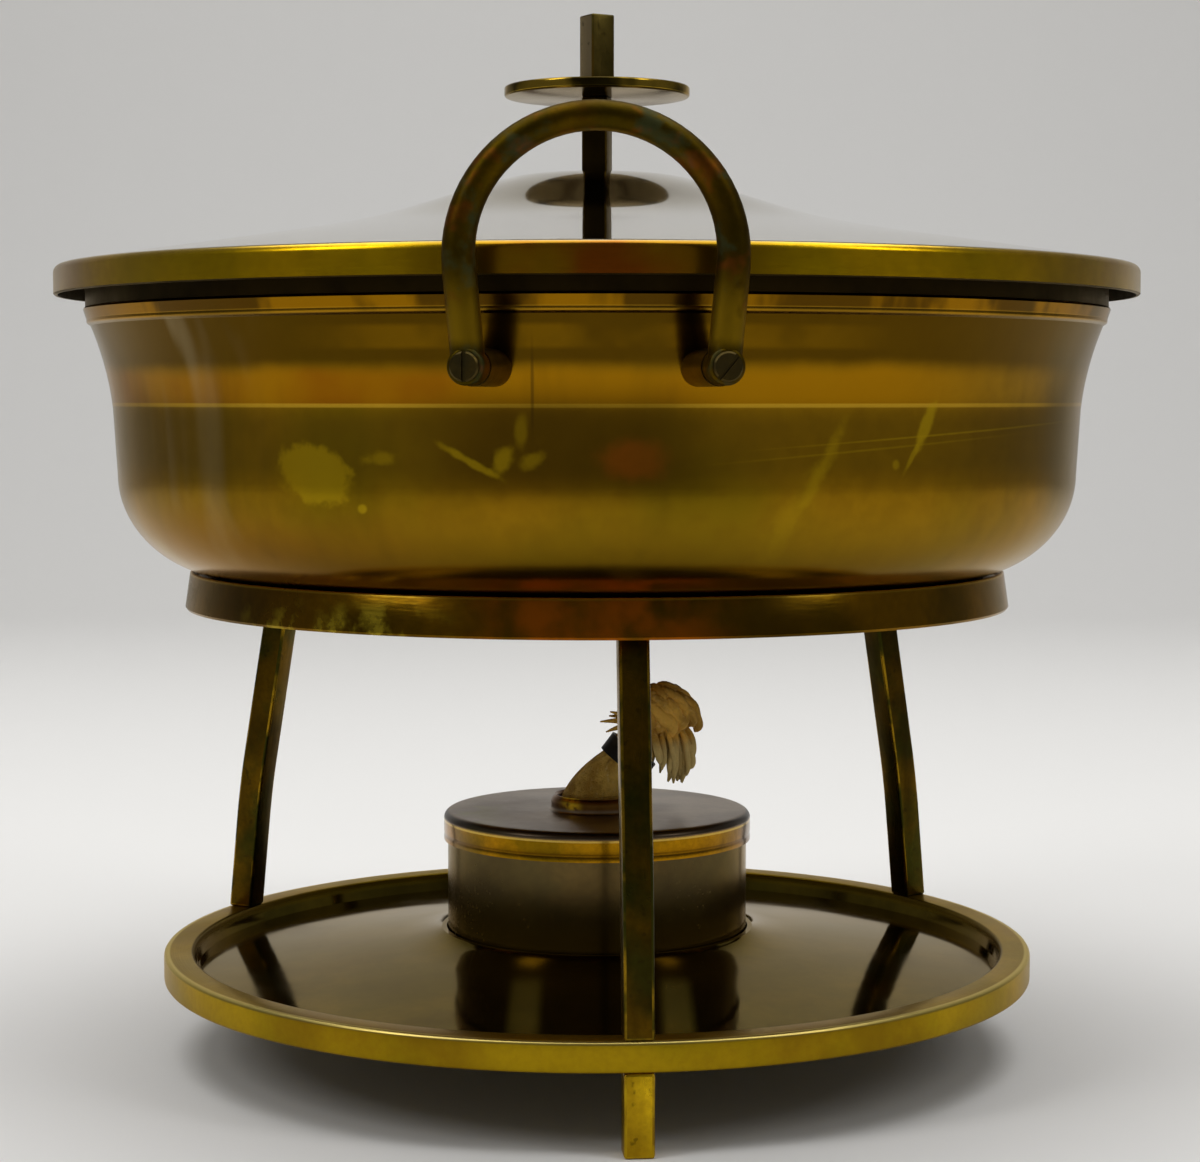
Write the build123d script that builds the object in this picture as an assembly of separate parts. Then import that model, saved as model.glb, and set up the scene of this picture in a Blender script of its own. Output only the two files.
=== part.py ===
from build123d import *
import math
import os

os.makedirs("parts", exist_ok=True)

# Brass chafing dish. Z is up, the axis of all the round pieces is Z, and the feet stand on z = 0.
# The front handle faces -Y. Lengths are millimetres and angles are degrees.

# Base tray and feet
tray_radius = 112.3
rim_width = 7.6
rim_height = 7.2
foot_height = 19.3
dish_depth = 4.8
dish_wall_slant = 0.8
dish_rise = 6.3
dish_sheet = 1.2
flare_width = 6.0
flare_height = 2.4
seat_depth = 4.4
bar_width = 7.0
edge_break = 0.5

# Legs, support ring and their screws
stand_turn = 4.9
leg_height = 94.8
leg_bend_height = 33.5
leg_bend_inset = 3.5
leg_bend_radius = 60.0
leg_top_inset = 10.8
ring_sheet = 1.6
ring_skirt = 8.1
ring_flare = 1.3
ring_gap = 10.1
ring_flange_reach = 7.0
seat_clearance = 0.25
stud_radius = 1.5
stud_reach = 9.0
leg_screw_head_radius = 2.8
leg_screw_head_height = 1.4
leg_screw_length = 8.0
hole_clearance = 0.06

# Pan
pan_base_radius = 93.0
pan_corner_reach = 29.4
pan_corner_rise = 26.1
pan_wall_height = 17.4
pan_wall_flare = 1.1
pan_upper_height = 19.6
pan_upper_flare = 5.1
pan_upper_hollow = 0.7
pan_sheet = 1.1
collar_step = 0.9
collar_flare = 0.9
collar_height = 4.6
rim_land = 2.9

# Loop handles
bow_radius = 28.0
eye_rise = 8.1
handle_bar_radius = 3.0
handle_end_radius = 3.5
handle_half_span = 26.0
handle_drop = 22.8
handle_gap = 8.4
eye_radius = 3.8
eye_length = 7.2
standoff_radius = 4.0
handle_screw_radius = 2.0
handle_screw_head_radius = 3.1
handle_screw_head_height = 1.1
slot_width = 0.9
slot_depth = 0.6
left_slot_turn = 90.0
right_slot_turn = 50.0
nut_radius = 4.0
nut_height = 3.4

# Lid
lid_overhang = 7.2
lid_lift = 3.0
lid_band_height = 7.4
lid_edge_radius = 2.0
lid_sheet = 1.0
lid_profile = [(25.0, 23.3), (40.0, 18.7), (57.6, 13.5), (84.0, 7.9)]
lid_crown = 24.7
lid_rim_slope = 8.8
knob_seat_radius = 6.0
locating_step = 0.5
locating_land = 2.4
locating_clearance = 0.3
spigot_gap = 0.4
spigot_wall = 1.2

# Knob
knob_bar_width = 6.6
lower_post_height = 19.3
lower_post_turn = -13.0
upper_post_height = 18.2
upper_post_turn = 30.5
knob_disc_radius = 23.8
knob_disc_thickness = 2.65
knob_disc_edge = 0.6
knob_stud_radius = 2.0
knob_stud_reach = 10.0
knob_washer_radius = 5.0
knob_washer_height = 1.0
knob_nut_radius = 4.0
knob_nut_height = 3.2

# Spirit burner
can_radius = 39.0
can_height = 34.2
can_sheet = 0.8
can_floor_edge = 1.4
can_seat_clearance = 0.4
cap_gap = 0.3
cap_sheet = 0.7
cap_skirt = 7.4
cap_edge_radius = 1.3
collar_radius = 12.0
collar_rise = 4.0
collar_fillet = 0.9

# Wick
wick_radius = 9.8
wick_gap = 0.3
wick_bend_offset = 2.6
wick_bend_rise = 3.2
wick_bend_tilt = 18.0
clip_tilt = 37.0
clip_offset = 6.7
clip_rise = 7.8
clip_height = 5.0
clip_radius = 7.0
clip_sheet = 0.8
tuft_offset = 14.3
tuft_rise = 17.0
tuft_reach = 13.0
tuft_depth = 12.0
tuft_thickness = 11.4
droop_offset = 20.6
droop_rise = 11.8
droop_reach = 6.4
droop_depth = 9.5
droop_thickness = 9.2
tail_radius = 7.0
tail_clearance = 0.6

# Heights of the stack, from the feet up
flange_top = foot_height + rim_height
ring_flange_bottom = flange_top + leg_height
pan_bottom = ring_flange_bottom + ring_sheet
pan_wall_bottom = pan_bottom + pan_corner_rise
shoulder = pan_wall_bottom + pan_wall_height
collar_bottom = shoulder + pan_upper_height
pan_rim = collar_bottom + collar_height
lid_band_bottom = pan_rim + lid_lift
lid_rim = lid_band_bottom + lid_band_height
lid_top = lid_rim + lid_crown
disc_bottom = lid_top + lower_post_height
upper_post_bottom = disc_bottom + knob_disc_thickness
eye_height = shoulder + eye_rise
bow_centre = eye_height + handle_drop

# Radii of the pan, the ring and the lid, from the base of the pan out
pan_wall_radius = pan_base_radius + pan_corner_reach
shoulder_radius = pan_wall_radius + pan_wall_flare
upper_radius = shoulder_radius + pan_upper_flare
collar_bottom_radius = upper_radius + collar_step
pan_rim_radius = collar_bottom_radius + collar_flare
pan_mouth_radius = pan_rim_radius - rim_land
lid_radius = pan_rim_radius + lid_overhang
ring_inner_radius = pan_base_radius + ring_gap
ring_radius = ring_inner_radius + ring_sheet
ring_bottom_radius = ring_radius + ring_flare
ring_lip = pan_corner_rise * (1 - math.sqrt(1 - (ring_gap / pan_corner_reach) ** 2)) - seat_clearance

# Plan places of the legs and of the burner
flange_inner_radius = tray_radius - rim_width
leg_foot_radius = tray_radius - rim_width / 2
leg_bend_place = leg_foot_radius - leg_bend_inset
leg_top_radius = ring_radius - leg_top_inset
leg_turns = {"front": -90 + stand_turn, "rear_right": 30 + stand_turn, "rear_left": 150 + stand_turn}
seat_radius = can_radius + can_seat_clearance
seat_lip_radius = seat_radius + dish_sheet
dish_outer_radius = flange_inner_radius - dish_wall_slant
dish_outer_height = flange_top - dish_depth
dish_inner_radius = seat_lip_radius + flare_width
dish_inner_height = dish_outer_height + dish_rise
seat_lip_height = dish_inner_height + flare_height
can_bottom = seat_lip_height - seat_depth
can_top = can_bottom + can_height
cap_top = can_top + cap_sheet
cap_radius = can_radius + cap_gap + cap_sheet
collar_top = cap_top + collar_rise
wick_hole_radius = wick_radius + wick_gap

# Places of the handle ends
handle_plane = lid_radius + handle_gap
eye_distance = math.hypot(handle_half_span, handle_plane)
eye_turn = math.degrees(math.atan2(handle_half_span, handle_plane))
eye_inner = eye_distance - eye_length / 2
eye_outer = eye_distance + eye_length / 2


def turned(outline):
    """The solid that a flat outline, drawn as radius and height, makes in a full turn about Z."""
    return revolve(Plane.XZ * make_face(outline), axis=Axis.Z)


def rod(radius, bottom, top, place=(0, 0)):
    """An upright round rod between two heights."""
    return Pos(place[0], place[1], bottom) * extrude(Circle(radius), top - bottom)


def tube(outer, inner, bottom, top):
    """An upright tube between two heights."""
    return Pos(0, 0, bottom) * extrude(Circle(outer) - Circle(inner), top - bottom)


def radial_rod(radius, start, end, height):
    """A round rod that points along +X from one distance to another, at a height."""
    return Pos(start, 0, height) * (Plane.YZ * extrude(Circle(radius), end - start))


def tray():
    """Turned base tray: a square rim, a dish that rises to the middle, and the burner's seat."""
    flare_start = (dish_inner_radius, dish_inner_height)
    flare_end = (seat_lip_radius, seat_lip_height)
    floor_bottom = can_bottom - dish_sheet
    top = Polyline(
        (0, can_bottom),
        (seat_radius, can_bottom),
        (seat_radius, seat_lip_height),
        flare_end,
    )
    flare = TangentArc(flare_start, flare_end, tangent=(dish_inner_radius - dish_outer_radius, dish_rise))
    dish = Polyline(
        flare_start,
        (dish_outer_radius, dish_outer_height),
        (flange_inner_radius, flange_top),
        (tray_radius - edge_break, flange_top),
        (tray_radius, flange_top - edge_break),
        (tray_radius, foot_height + edge_break),
        (tray_radius - edge_break, foot_height),
        (flange_inner_radius, foot_height),
        (dish_outer_radius, dish_outer_height - dish_sheet),
        (dish_inner_radius, dish_inner_height - dish_sheet),
        (seat_lip_radius + dish_sheet, min(dish_inner_height - dish_sheet, floor_bottom + dish_sheet)),
        (seat_lip_radius, floor_bottom),
        (0, floor_bottom),
        (0, can_bottom),
    )
    body = turned(top + flare + dish)
    for turn in leg_turns.values():
        body -= Rot(0, 0, turn) * rod(stud_radius + hole_clearance, foot_height - 1, flange_top + 1, (leg_foot_radius, 0))
    return body


def foot():
    """Square foot under the tray's rim, along +X, with the blind hole of its stud."""
    block = Pos(leg_foot_radius, 0, 0) * extrude(Rectangle(bar_width, bar_width), foot_height)
    block = chamfer(block.edges().filter_by(Axis.Z), edge_break)
    return block - rod(stud_radius + hole_clearance, foot_height - stud_reach, foot_height + 1, (leg_foot_radius, 0))


def leg():
    """Bent square-bar leg along +X, from the tray's rim up to the ring's flange."""
    lower = (leg_foot_radius, flange_top)
    bend = (leg_bend_place, flange_top + leg_bend_height)
    upper = (leg_top_radius, ring_flange_bottom)
    spare = bar_width
    lower_slope = (lower[0] - bend[0]) / (bend[1] - lower[1])
    upper_slope = (bend[0] - upper[0]) / (upper[1] - bend[1])
    start = (lower[0] + spare * lower_slope, 0, lower[1] - spare)
    end = (upper[0] - spare * upper_slope, 0, upper[1] + spare)
    path = FilletPolyline(start, (bend[0], 0, bend[1]), end, radius=leg_bend_radius)
    section = Plane(origin=path @ 0, x_dir=(0, 1, 0), z_dir=path % 0) * Rectangle(bar_width, bar_width)
    section = chamfer(section.vertices(), edge_break)
    bar = sweep(section, path=path)
    height = ring_flange_bottom - flange_top
    between = Pos(leg_bend_place, 0, flange_top + height / 2) * Box(tray_radius, tray_radius, height)
    bar = bar & between
    bar -= rod(stud_radius + hole_clearance, flange_top - 1, flange_top + stud_reach, (leg_foot_radius, 0))
    screw_end = pan_bottom - leg_screw_length - hole_clearance
    return bar - rod(stud_radius + hole_clearance, screw_end, pan_bottom, (leg_top_radius, 0))


def tie_stud():
    """Threaded stud that ties a foot, the rim and a leg together."""
    play = hole_clearance * 2
    return rod(stud_radius, foot_height - stud_reach + play, flange_top + stud_reach - play, (leg_foot_radius, 0))


def leg_screw():
    """Countersunk screw down through the ring's flange into a leg, flush under the pan."""
    shank = rod(stud_radius, pan_bottom - leg_screw_length, pan_bottom, (leg_top_radius, 0))
    head = Cone(stud_radius, leg_screw_head_radius, leg_screw_head_height)
    head = Pos(leg_top_radius, 0, pan_bottom - leg_screw_head_height / 2) * head
    cut = Pos(leg_top_radius, 0, pan_bottom) * Box(slot_width, leg_screw_head_radius * 3, slot_depth * 2)
    return shank + head - cut


def support_ring():
    """Spun ring that carries the pan: a flared band round an inward flange."""
    lip_top = pan_bottom + ring_lip
    skirt_bottom = pan_bottom - ring_skirt
    flange_inner = pan_base_radius - ring_flange_reach
    outline = Polyline(
        (flange_inner, ring_flange_bottom),
        (flange_inner, pan_bottom),
        (ring_inner_radius, pan_bottom),
        (ring_inner_radius, lip_top - edge_break),
        (ring_inner_radius + edge_break, lip_top),
        (ring_radius, lip_top),
        (ring_bottom_radius, skirt_bottom),
        (ring_bottom_radius - ring_sheet, skirt_bottom),
        (ring_inner_radius, ring_flange_bottom),
        (flange_inner, ring_flange_bottom),
    )
    ring = turned(outline)
    hole = rod(stud_radius + hole_clearance, ring_flange_bottom - 1, pan_bottom, (leg_top_radius, 0))
    sink = Cone(stud_radius + hole_clearance, leg_screw_head_radius + hole_clearance, leg_screw_head_height)
    sink = Pos(leg_top_radius, 0, pan_bottom - leg_screw_head_height / 2) * sink
    for turn in leg_turns.values():
        ring -= Rot(0, 0, turn) * (hole + sink)
    return ring


def pan_fill(inset):
    """The pan's outer shape, filled up to the collar, or what lies a sheet's thickness inside it."""
    base = pan_bottom + inset
    corner = EllipticalCenterArc(
        (pan_base_radius, pan_wall_bottom),
        pan_corner_reach - inset,
        pan_corner_rise - inset,
        start_angle=-90,
        arc_size=90,
    )
    upper_middle = (
        (shoulder_radius + upper_radius) / 2 - inset - pan_upper_hollow,
        (shoulder + collar_bottom) / 2,
    )
    upper_arc = ThreePointArc(
        (shoulder_radius - inset, shoulder),
        upper_middle,
        (upper_radius - inset, collar_bottom),
    )
    outline = Line((0, base), (pan_base_radius, base)) + corner
    outline += Line((pan_wall_radius - inset, pan_wall_bottom), (shoulder_radius - inset, shoulder))
    outline += upper_arc
    outline += Polyline((upper_radius - inset, collar_bottom), (0, collar_bottom), (0, base))
    return turned(outline)


def pan_body():
    """Spun pan with a thick collar, bored for the handle screws."""
    collar = Polyline(
        (pan_mouth_radius, collar_bottom),
        (upper_radius, collar_bottom),
        (collar_bottom_radius, collar_bottom + collar_step),
        (pan_rim_radius, pan_rim - edge_break),
        (pan_rim_radius - edge_break, pan_rim),
        (pan_mouth_radius, pan_rim),
        (pan_mouth_radius, collar_bottom),
    )
    pan = pan_fill(0) - pan_fill(pan_sheet) + turned(collar)
    bore = radial_rod(handle_screw_radius + hole_clearance, pan_wall_radius / 2, eye_outer, eye_height)
    for turn in handle_turns("both"):
        pan -= Rot(0, 0, turn) * bore
    return pan


def handle_turns(side):
    """Directions of the handle ends of one side, or of both."""
    front = [-90 - eye_turn, -90 + eye_turn]
    rear = [90 - eye_turn, 90 + eye_turn]
    return {"front": front, "rear": rear, "both": front + rear}[side]


def handle():
    """Loop handle of the front: a round bar bent to a bow, its two ends flattened into eyes."""
    reach = math.hypot(handle_half_span, handle_drop)
    bow_start = math.degrees(math.acos(bow_radius / reach) - math.atan2(handle_drop, handle_half_span))
    plane = Plane(origin=(0, -handle_plane, bow_centre), x_dir=(1, 0, 0), z_dir=(0, -1, 0))
    bow = CenterArc((0, 0), bow_radius, bow_start, 180 - 2 * bow_start)
    leg_in = Line((handle_half_span, -handle_drop), bow @ 0)
    leg_out = Line(bow @ 1, (-handle_half_span, -handle_drop))
    path = plane * Wire([leg_in, bow, leg_out])
    sections = []
    for place, radius in ((0, handle_end_radius), (0.5, handle_bar_radius), (1, handle_end_radius)):
        sections.append(Plane(origin=path @ place, z_dir=path % place) * Circle(radius))
    bar = sweep(sections, path=path, multisection=True)
    bore = radial_rod(handle_screw_radius + hole_clearance, eye_inner - eye_length, eye_outer + eye_length, eye_height)
    eye = radial_rod(eye_radius, eye_inner, eye_outer, eye_height)
    eye = chamfer(eye.edges().filter_by(GeomType.CIRCLE), edge_break)
    for turn in handle_turns("front"):
        bar += Rot(0, 0, turn) * eye
    for turn in handle_turns("front"):
        bar -= Rot(0, 0, turn) * bore
    return bar


def standoff():
    """Round distance piece along +X, its inner end shaped to the pan's wall."""
    piece = radial_rod(standoff_radius, pan_base_radius, eye_inner, eye_height) - pan_fill(0)
    return piece - radial_rod(handle_screw_radius + hole_clearance, pan_base_radius, eye_outer, eye_height)


def nut():
    """Hexagonal nut on the handle screw inside the pan, its seat shaped to the wall."""
    start = shoulder_radius - nut_height
    blank = Pos(start, 0, eye_height) * (Plane.YZ * extrude(RegularPolygon(nut_radius, 6), upper_radius - start))
    blank = blank & pan_fill(pan_sheet)
    return blank - radial_rod(handle_screw_radius + hole_clearance, pan_base_radius, eye_outer, eye_height)


def handle_screw(slot_turn):
    """Slotted round-head screw along +X, from the nut inside the pan to the head on the eye."""
    shank = radial_rod(handle_screw_radius, shoulder_radius - nut_height, eye_outer, eye_height)
    head = radial_rod(handle_screw_head_radius, eye_outer, eye_outer + handle_screw_head_height, eye_height)
    head = chamfer(head.edges().filter_by(GeomType.CIRCLE).sort_by(Axis.X)[-1], handle_screw_head_height / 3)
    face = Pos(eye_outer + handle_screw_head_height, 0, eye_height)
    cut = face * Rot(slot_turn, 0, 0) * Box(slot_depth * 2, handle_screw_head_radius * 3, slot_width)
    return shank + head - cut


def lid_surface(drop):
    """Outline of the lid's top from the axis to the rounded edge, lowered by a sheet's thickness."""
    rim_corner = lid_radius - lid_edge_radius
    points = [(knob_seat_radius, lid_top - drop)]
    points += [(radius, lid_rim + height - drop) for radius, height in lid_profile]
    points += [(rim_corner, lid_rim - drop)]
    slope = math.radians(lid_rim_slope)
    curve = Spline(points, tangents=[(1, 0), (math.cos(slope), -math.sin(slope))])
    edge = CenterArc((rim_corner, lid_rim - lid_edge_radius), lid_edge_radius - drop, 90, -90)
    return Line((0, lid_top - drop), points[0]) + curve + edge


def lid_shell():
    """Spun lid: a low bell with a rounded edge and a plain band, bored for the knob's stud."""
    outer = lid_surface(0)
    outer += Line((lid_radius, lid_rim - lid_edge_radius), (lid_radius, lid_band_bottom))
    outer += Polyline((lid_radius, lid_band_bottom), (0, lid_band_bottom), (0, lid_top))
    inner_radius = lid_radius - lid_sheet
    inner = lid_surface(lid_sheet)
    inner += Line((inner_radius, lid_rim - lid_edge_radius), (inner_radius, lid_band_bottom))
    inner += Polyline((inner_radius, lid_band_bottom), (0, lid_band_bottom), (0, lid_top - lid_sheet))
    return turned(outer) - turned(inner) - rod(knob_stud_radius + hole_clearance, lid_band_bottom, lid_top + 1)


def lid_locating_ring(shell):
    """Ring soldered under the lid: its step rests on the pan's rim and its spigot drops inside."""
    outer = pan_rim_radius - locating_step
    spigot = pan_mouth_radius - locating_clearance
    bore = spigot - spigot_wall
    height = lid_rim + (lid_radius - outer) * math.tan(math.radians(lid_rim_slope))
    inner = outer - locating_land
    slope = math.tan(math.radians(lid_rim_slope))
    spigot_bottom = collar_bottom + spigot_gap
    blank = turned(
        Polyline(
            (bore, spigot_bottom),
            (spigot, spigot_bottom),
            (spigot, pan_rim),
            (outer, pan_rim),
            (outer, height - lid_sheet / 2),
            (inner, height + locating_land * slope - lid_sheet / 2),
            (inner, pan_rim + spigot_wall),
            (bore, pan_rim + spigot_wall),
            (bore, spigot_bottom),
        )
    )
    return (blank - shell).solids().sort_by(SortBy.VOLUME)[-1]


def square_post(bottom, height, turn):
    """Square post of the knob on the axis, turned about it, with its long edges broken."""
    post = Pos(0, 0, bottom) * (Rot(0, 0, turn) * extrude(Rectangle(knob_bar_width, knob_bar_width), height))
    return chamfer(post.edges().filter_by(Axis.Z), edge_break / 2)


def knob_lower_post():
    """Lower square post, bored through for the stud."""
    post = square_post(lid_top, lower_post_height, lower_post_turn)
    return post - rod(knob_stud_radius + hole_clearance, lid_top - 1, disc_bottom + 1)


def knob_upper_post():
    """Upper square post, with the stud's blind hole in its foot."""
    post = square_post(upper_post_bottom, upper_post_height, upper_post_turn)
    end = upper_post_bottom + knob_stud_reach + hole_clearance
    return post - rod(knob_stud_radius + hole_clearance, upper_post_bottom - 1, end)


def knob_disc():
    """Flat round finger disc with a rounded edge, held between the two posts."""
    disc = rod(knob_disc_radius, disc_bottom, upper_post_bottom)
    disc = fillet(disc.edges(), knob_disc_edge)
    return disc - rod(knob_stud_radius + hole_clearance, disc_bottom - 1, upper_post_bottom + 1)


def knob_stud():
    """Threaded rod through the lid, the lower post and the disc into the upper post."""
    under = lid_top - lid_sheet - knob_washer_height - knob_nut_height - knob_nut_height / 4
    return rod(knob_stud_radius, under, upper_post_bottom + knob_stud_reach)


def knob_washer():
    """Flat washer under the lid."""
    top = lid_top - lid_sheet
    return tube(knob_washer_radius, knob_stud_radius + hole_clearance, top - knob_washer_height, top)


def knob_nut():
    """Hexagonal nut that pulls the knob's stud tight under the lid."""
    top = lid_top - lid_sheet - knob_washer_height
    blank = Pos(0, 0, top - knob_nut_height) * extrude(RegularPolygon(knob_nut_radius, 6), knob_nut_height)
    return blank - rod(knob_stud_radius + hole_clearance, top - knob_nut_height - 1, top + 1)


def burner_can():
    """Drawn can of the spirit burner, open at the top."""
    outer = rod(can_radius, can_bottom, can_top)
    outer = chamfer(outer.edges().sort_by(Axis.Z)[0], can_floor_edge)
    return outer - rod(can_radius - can_sheet, can_bottom + can_sheet + can_floor_edge, can_top + 1)


def burner_cap():
    """Pressed push-on cap with a raised rounded collar round the wick hole."""
    skirt_bottom = cap_top - cap_skirt
    outline = Polyline(
        (wick_hole_radius, cap_top - cap_sheet),
        (wick_hole_radius, collar_top - collar_fillet),
    )
    outline += CenterArc((wick_hole_radius + collar_fillet, collar_top - collar_fillet), collar_fillet, 180, -90)
    shoulder_place = max(collar_radius - collar_fillet, wick_hole_radius + collar_fillet + 0.1)
    outer_place = shoulder_place + collar_fillet
    outline += Line((wick_hole_radius + collar_fillet, collar_top), (shoulder_place, collar_top))
    outline += CenterArc((shoulder_place, collar_top - collar_fillet), collar_fillet, 90, -90)
    outline += Line((outer_place, collar_top - collar_fillet), (outer_place, cap_top))
    outline += Line((outer_place, cap_top), (cap_radius - cap_edge_radius, cap_top))
    outline += CenterArc((cap_radius - cap_edge_radius, cap_top - cap_edge_radius), cap_edge_radius, 90, -90)
    outline += Polyline(
        (cap_radius, cap_top - cap_edge_radius),
        (cap_radius, skirt_bottom),
        (cap_radius - cap_sheet, skirt_bottom),
        (cap_radius - cap_sheet, cap_top - cap_sheet),
        (wick_hole_radius, cap_top - cap_sheet),
    )
    return turned(outline)


def clip_frame():
    """Tilted frame at the foot of the wick's band, its Z along the wick."""
    return Pos(clip_offset, 0, collar_top + clip_rise) * Rot(0, clip_tilt, 0)


def wick():
    """Cotton wick: an upright plug in the collar that bends over and narrows to the band."""
    bend = Pos(wick_bend_offset, 0, collar_top + wick_bend_rise) * Rot(0, wick_bend_tilt, 0)
    neck_radius = clip_radius - clip_sheet - 0.1
    sections = [
        Pos(0, 0, cap_top - cap_sheet) * Circle(wick_radius),
        Pos(0, 0, collar_top - collar_fillet) * Circle(wick_radius),
        bend * Circle((wick_radius + neck_radius) / 2),
        clip_frame() * Circle(neck_radius),
        clip_frame() * (Pos(0, 0, clip_height) * Circle(neck_radius)),
    ]
    return loft(sections)


def wick_tail():
    """Loose end of the wick that hangs from the cap into the fuel, nearly to the floor."""
    floor = can_bottom + can_sheet + can_floor_edge
    return rod(tail_radius, floor + tail_clearance, cap_top - cap_sheet)


def wick_clip():
    """Dark metal band clamped round the wick below its frayed head."""
    band = extrude(Circle(clip_radius) - Circle(clip_radius - clip_sheet), clip_height)
    return clip_frame() * band


def wick_tuft():
    """Frayed head of the wick: a rounded crown that hangs over on one side."""
    crown = scale(Sphere(1), by=(tuft_reach, tuft_depth, tuft_thickness))
    crown = Pos(tuft_offset, 0, collar_top + tuft_rise) * crown
    droop = scale(Sphere(1), by=(droop_reach, droop_depth, droop_thickness))
    droop = Pos(droop_offset, 0, collar_top + droop_rise) * droop
    clear = clip_frame() * (Pos(0, 0, -clip_rise) * extrude(Circle(clip_radius + wick_gap), clip_rise + clip_height))
    under = clip_frame() * (Pos(-tuft_reach, 0, clip_height - tuft_reach) * Box(tuft_reach * 2, tuft_reach * 3, tuft_reach * 2))
    return (crown - under + droop - clear).solids().sort_by(SortBy.VOLUME)[-1]


def group(pieces):
    """Like pieces kept as separate solids in one node."""
    return Compound(children=[solid for piece in pieces for solid in piece.solids()])


shell = lid_shell()
front_handle = handle()
nodes = {
    "tray": tray(),
    "leg_tie_studs": group([Rot(0, 0, turn) * tie_stud() for turn in leg_turns.values()]),
    "leg_screws": group([Rot(0, 0, turn) * leg_screw() for turn in leg_turns.values()]),
    "support_ring": support_ring(),
    "pan": pan_body(),
    "front_handle": front_handle,
    "rear_handle": Rot(0, 0, 180) * front_handle,
    "lid": shell,
    "lid_locating_ring": lid_locating_ring(shell),
    "knob_lower_post": knob_lower_post(),
    "knob_disc": knob_disc(),
    "knob_upper_post": knob_upper_post(),
    "knob_stud": knob_stud(),
    "knob_washer": knob_washer(),
    "knob_nut": knob_nut(),
    "burner_can": burner_can(),
    "burner_cap": burner_cap(),
    "wick": wick(),
    "wick_tail": wick_tail(),
    "wick_clip": wick_clip(),
    "wick_tuft": wick_tuft(),
}
for name, turn in leg_turns.items():
    nodes[name + "_leg"] = Rot(0, 0, turn) * leg()
    nodes[name + "_foot"] = Rot(0, 0, turn) * foot()
for side in ("front", "rear"):
    turns = handle_turns(side)
    nodes[side + "_handle_standoffs"] = group([Rot(0, 0, turn) * standoff() for turn in turns])
    nodes[side + "_handle_nuts"] = group([Rot(0, 0, turn) * nut() for turn in turns])
    screws = zip(turns, (left_slot_turn, right_slot_turn))
    nodes[side + "_handle_screws"] = group([Rot(0, 0, turn) * handle_screw(slot) for turn, slot in screws])

for name, shape in nodes.items():
    shape.label = name
    export_step(shape, f"parts/{name}.step")
    print(name, "volume", round(shape.volume, 1))
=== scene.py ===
import math
import random

import bmesh
import bpy
from mathutils import Matrix, Vector


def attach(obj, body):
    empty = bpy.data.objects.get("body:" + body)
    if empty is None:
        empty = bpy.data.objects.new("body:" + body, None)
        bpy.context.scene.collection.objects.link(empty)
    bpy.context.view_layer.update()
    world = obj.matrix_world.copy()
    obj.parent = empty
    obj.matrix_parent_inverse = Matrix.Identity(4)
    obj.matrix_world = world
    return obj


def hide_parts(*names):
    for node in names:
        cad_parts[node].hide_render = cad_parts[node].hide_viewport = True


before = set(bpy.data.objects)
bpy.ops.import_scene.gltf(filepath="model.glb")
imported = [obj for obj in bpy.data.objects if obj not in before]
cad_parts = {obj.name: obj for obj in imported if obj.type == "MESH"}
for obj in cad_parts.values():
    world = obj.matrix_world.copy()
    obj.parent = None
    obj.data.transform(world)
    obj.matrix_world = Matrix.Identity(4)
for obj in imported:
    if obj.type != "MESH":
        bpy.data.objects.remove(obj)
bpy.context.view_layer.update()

# The photograph's view: a long lens a little above the table, level with the pan's wall, pitched four
# degrees down. The dish's axis stands just left of the middle of the frame.
mm = 0.001
photo_width = 1200
focal_pixels = 2633.4
axis_pixel = 597
view_distance = 683.9 * mm
view_height = 168.5 * mm
view_pitch = math.radians(4.01)

camera_data = bpy.data.cameras.new("camera")
camera_data.sensor_width = 36
camera_data.lens = camera_data.sensor_width * focal_pixels / photo_width
camera = bpy.data.objects.new("camera", camera_data)
camera.location = ((photo_width / 2 - axis_pixel) / focal_pixels * view_distance, -view_distance, view_height)
camera.rotation_euler = (math.pi / 2 - view_pitch, 0, 0)
bpy.context.scene.collection.objects.link(camera)
bpy.context.scene.camera = camera
bpy.context.scene.view_settings.view_transform = "Standard"


# The studio: a pale floor that curves up into a pale wall behind the dish, one large soft light
# overhead, two smaller ones high at the front corners, and a dim room all round.
class Value:
    """A number or colour that varies over a surface. Python's operators add the Math nodes."""

    def __init__(self, finish, socket):
        self.finish = finish
        self.socket = socket

    def math(self, operation, *others):
        return self.finish.node("ShaderNodeMath", {"operation": operation}, dict(enumerate((self, *others))))

    def __add__(self, other):
        return self.math("ADD", other)

    def __sub__(self, other):
        return self.math("SUBTRACT", other)

    def __rsub__(self, other):
        return self.math("MULTIPLY", -1).math("ADD", other)

    def __mul__(self, other):
        return self.math("MULTIPLY", other)

    def __truediv__(self, other):
        return self.math("DIVIDE", other)

    def __abs__(self):
        return self.math("ABSOLUTE")

    __radd__ = __add__
    __rmul__ = __mul__

    def rise(self, start, end):
        """0 before start, 1 past end, smooth between them; start may be the larger."""
        kind = {"interpolation_type": "SMOOTHSTEP"}
        return self.finish.node("ShaderNodeMapRange", kind, {0: self, 1: start, 2: end})

    def band(self, middle, half, soft):
        """1 within half of middle, fading to 0 over soft."""
        return abs(self - middle).rise(half + soft, half)


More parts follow.
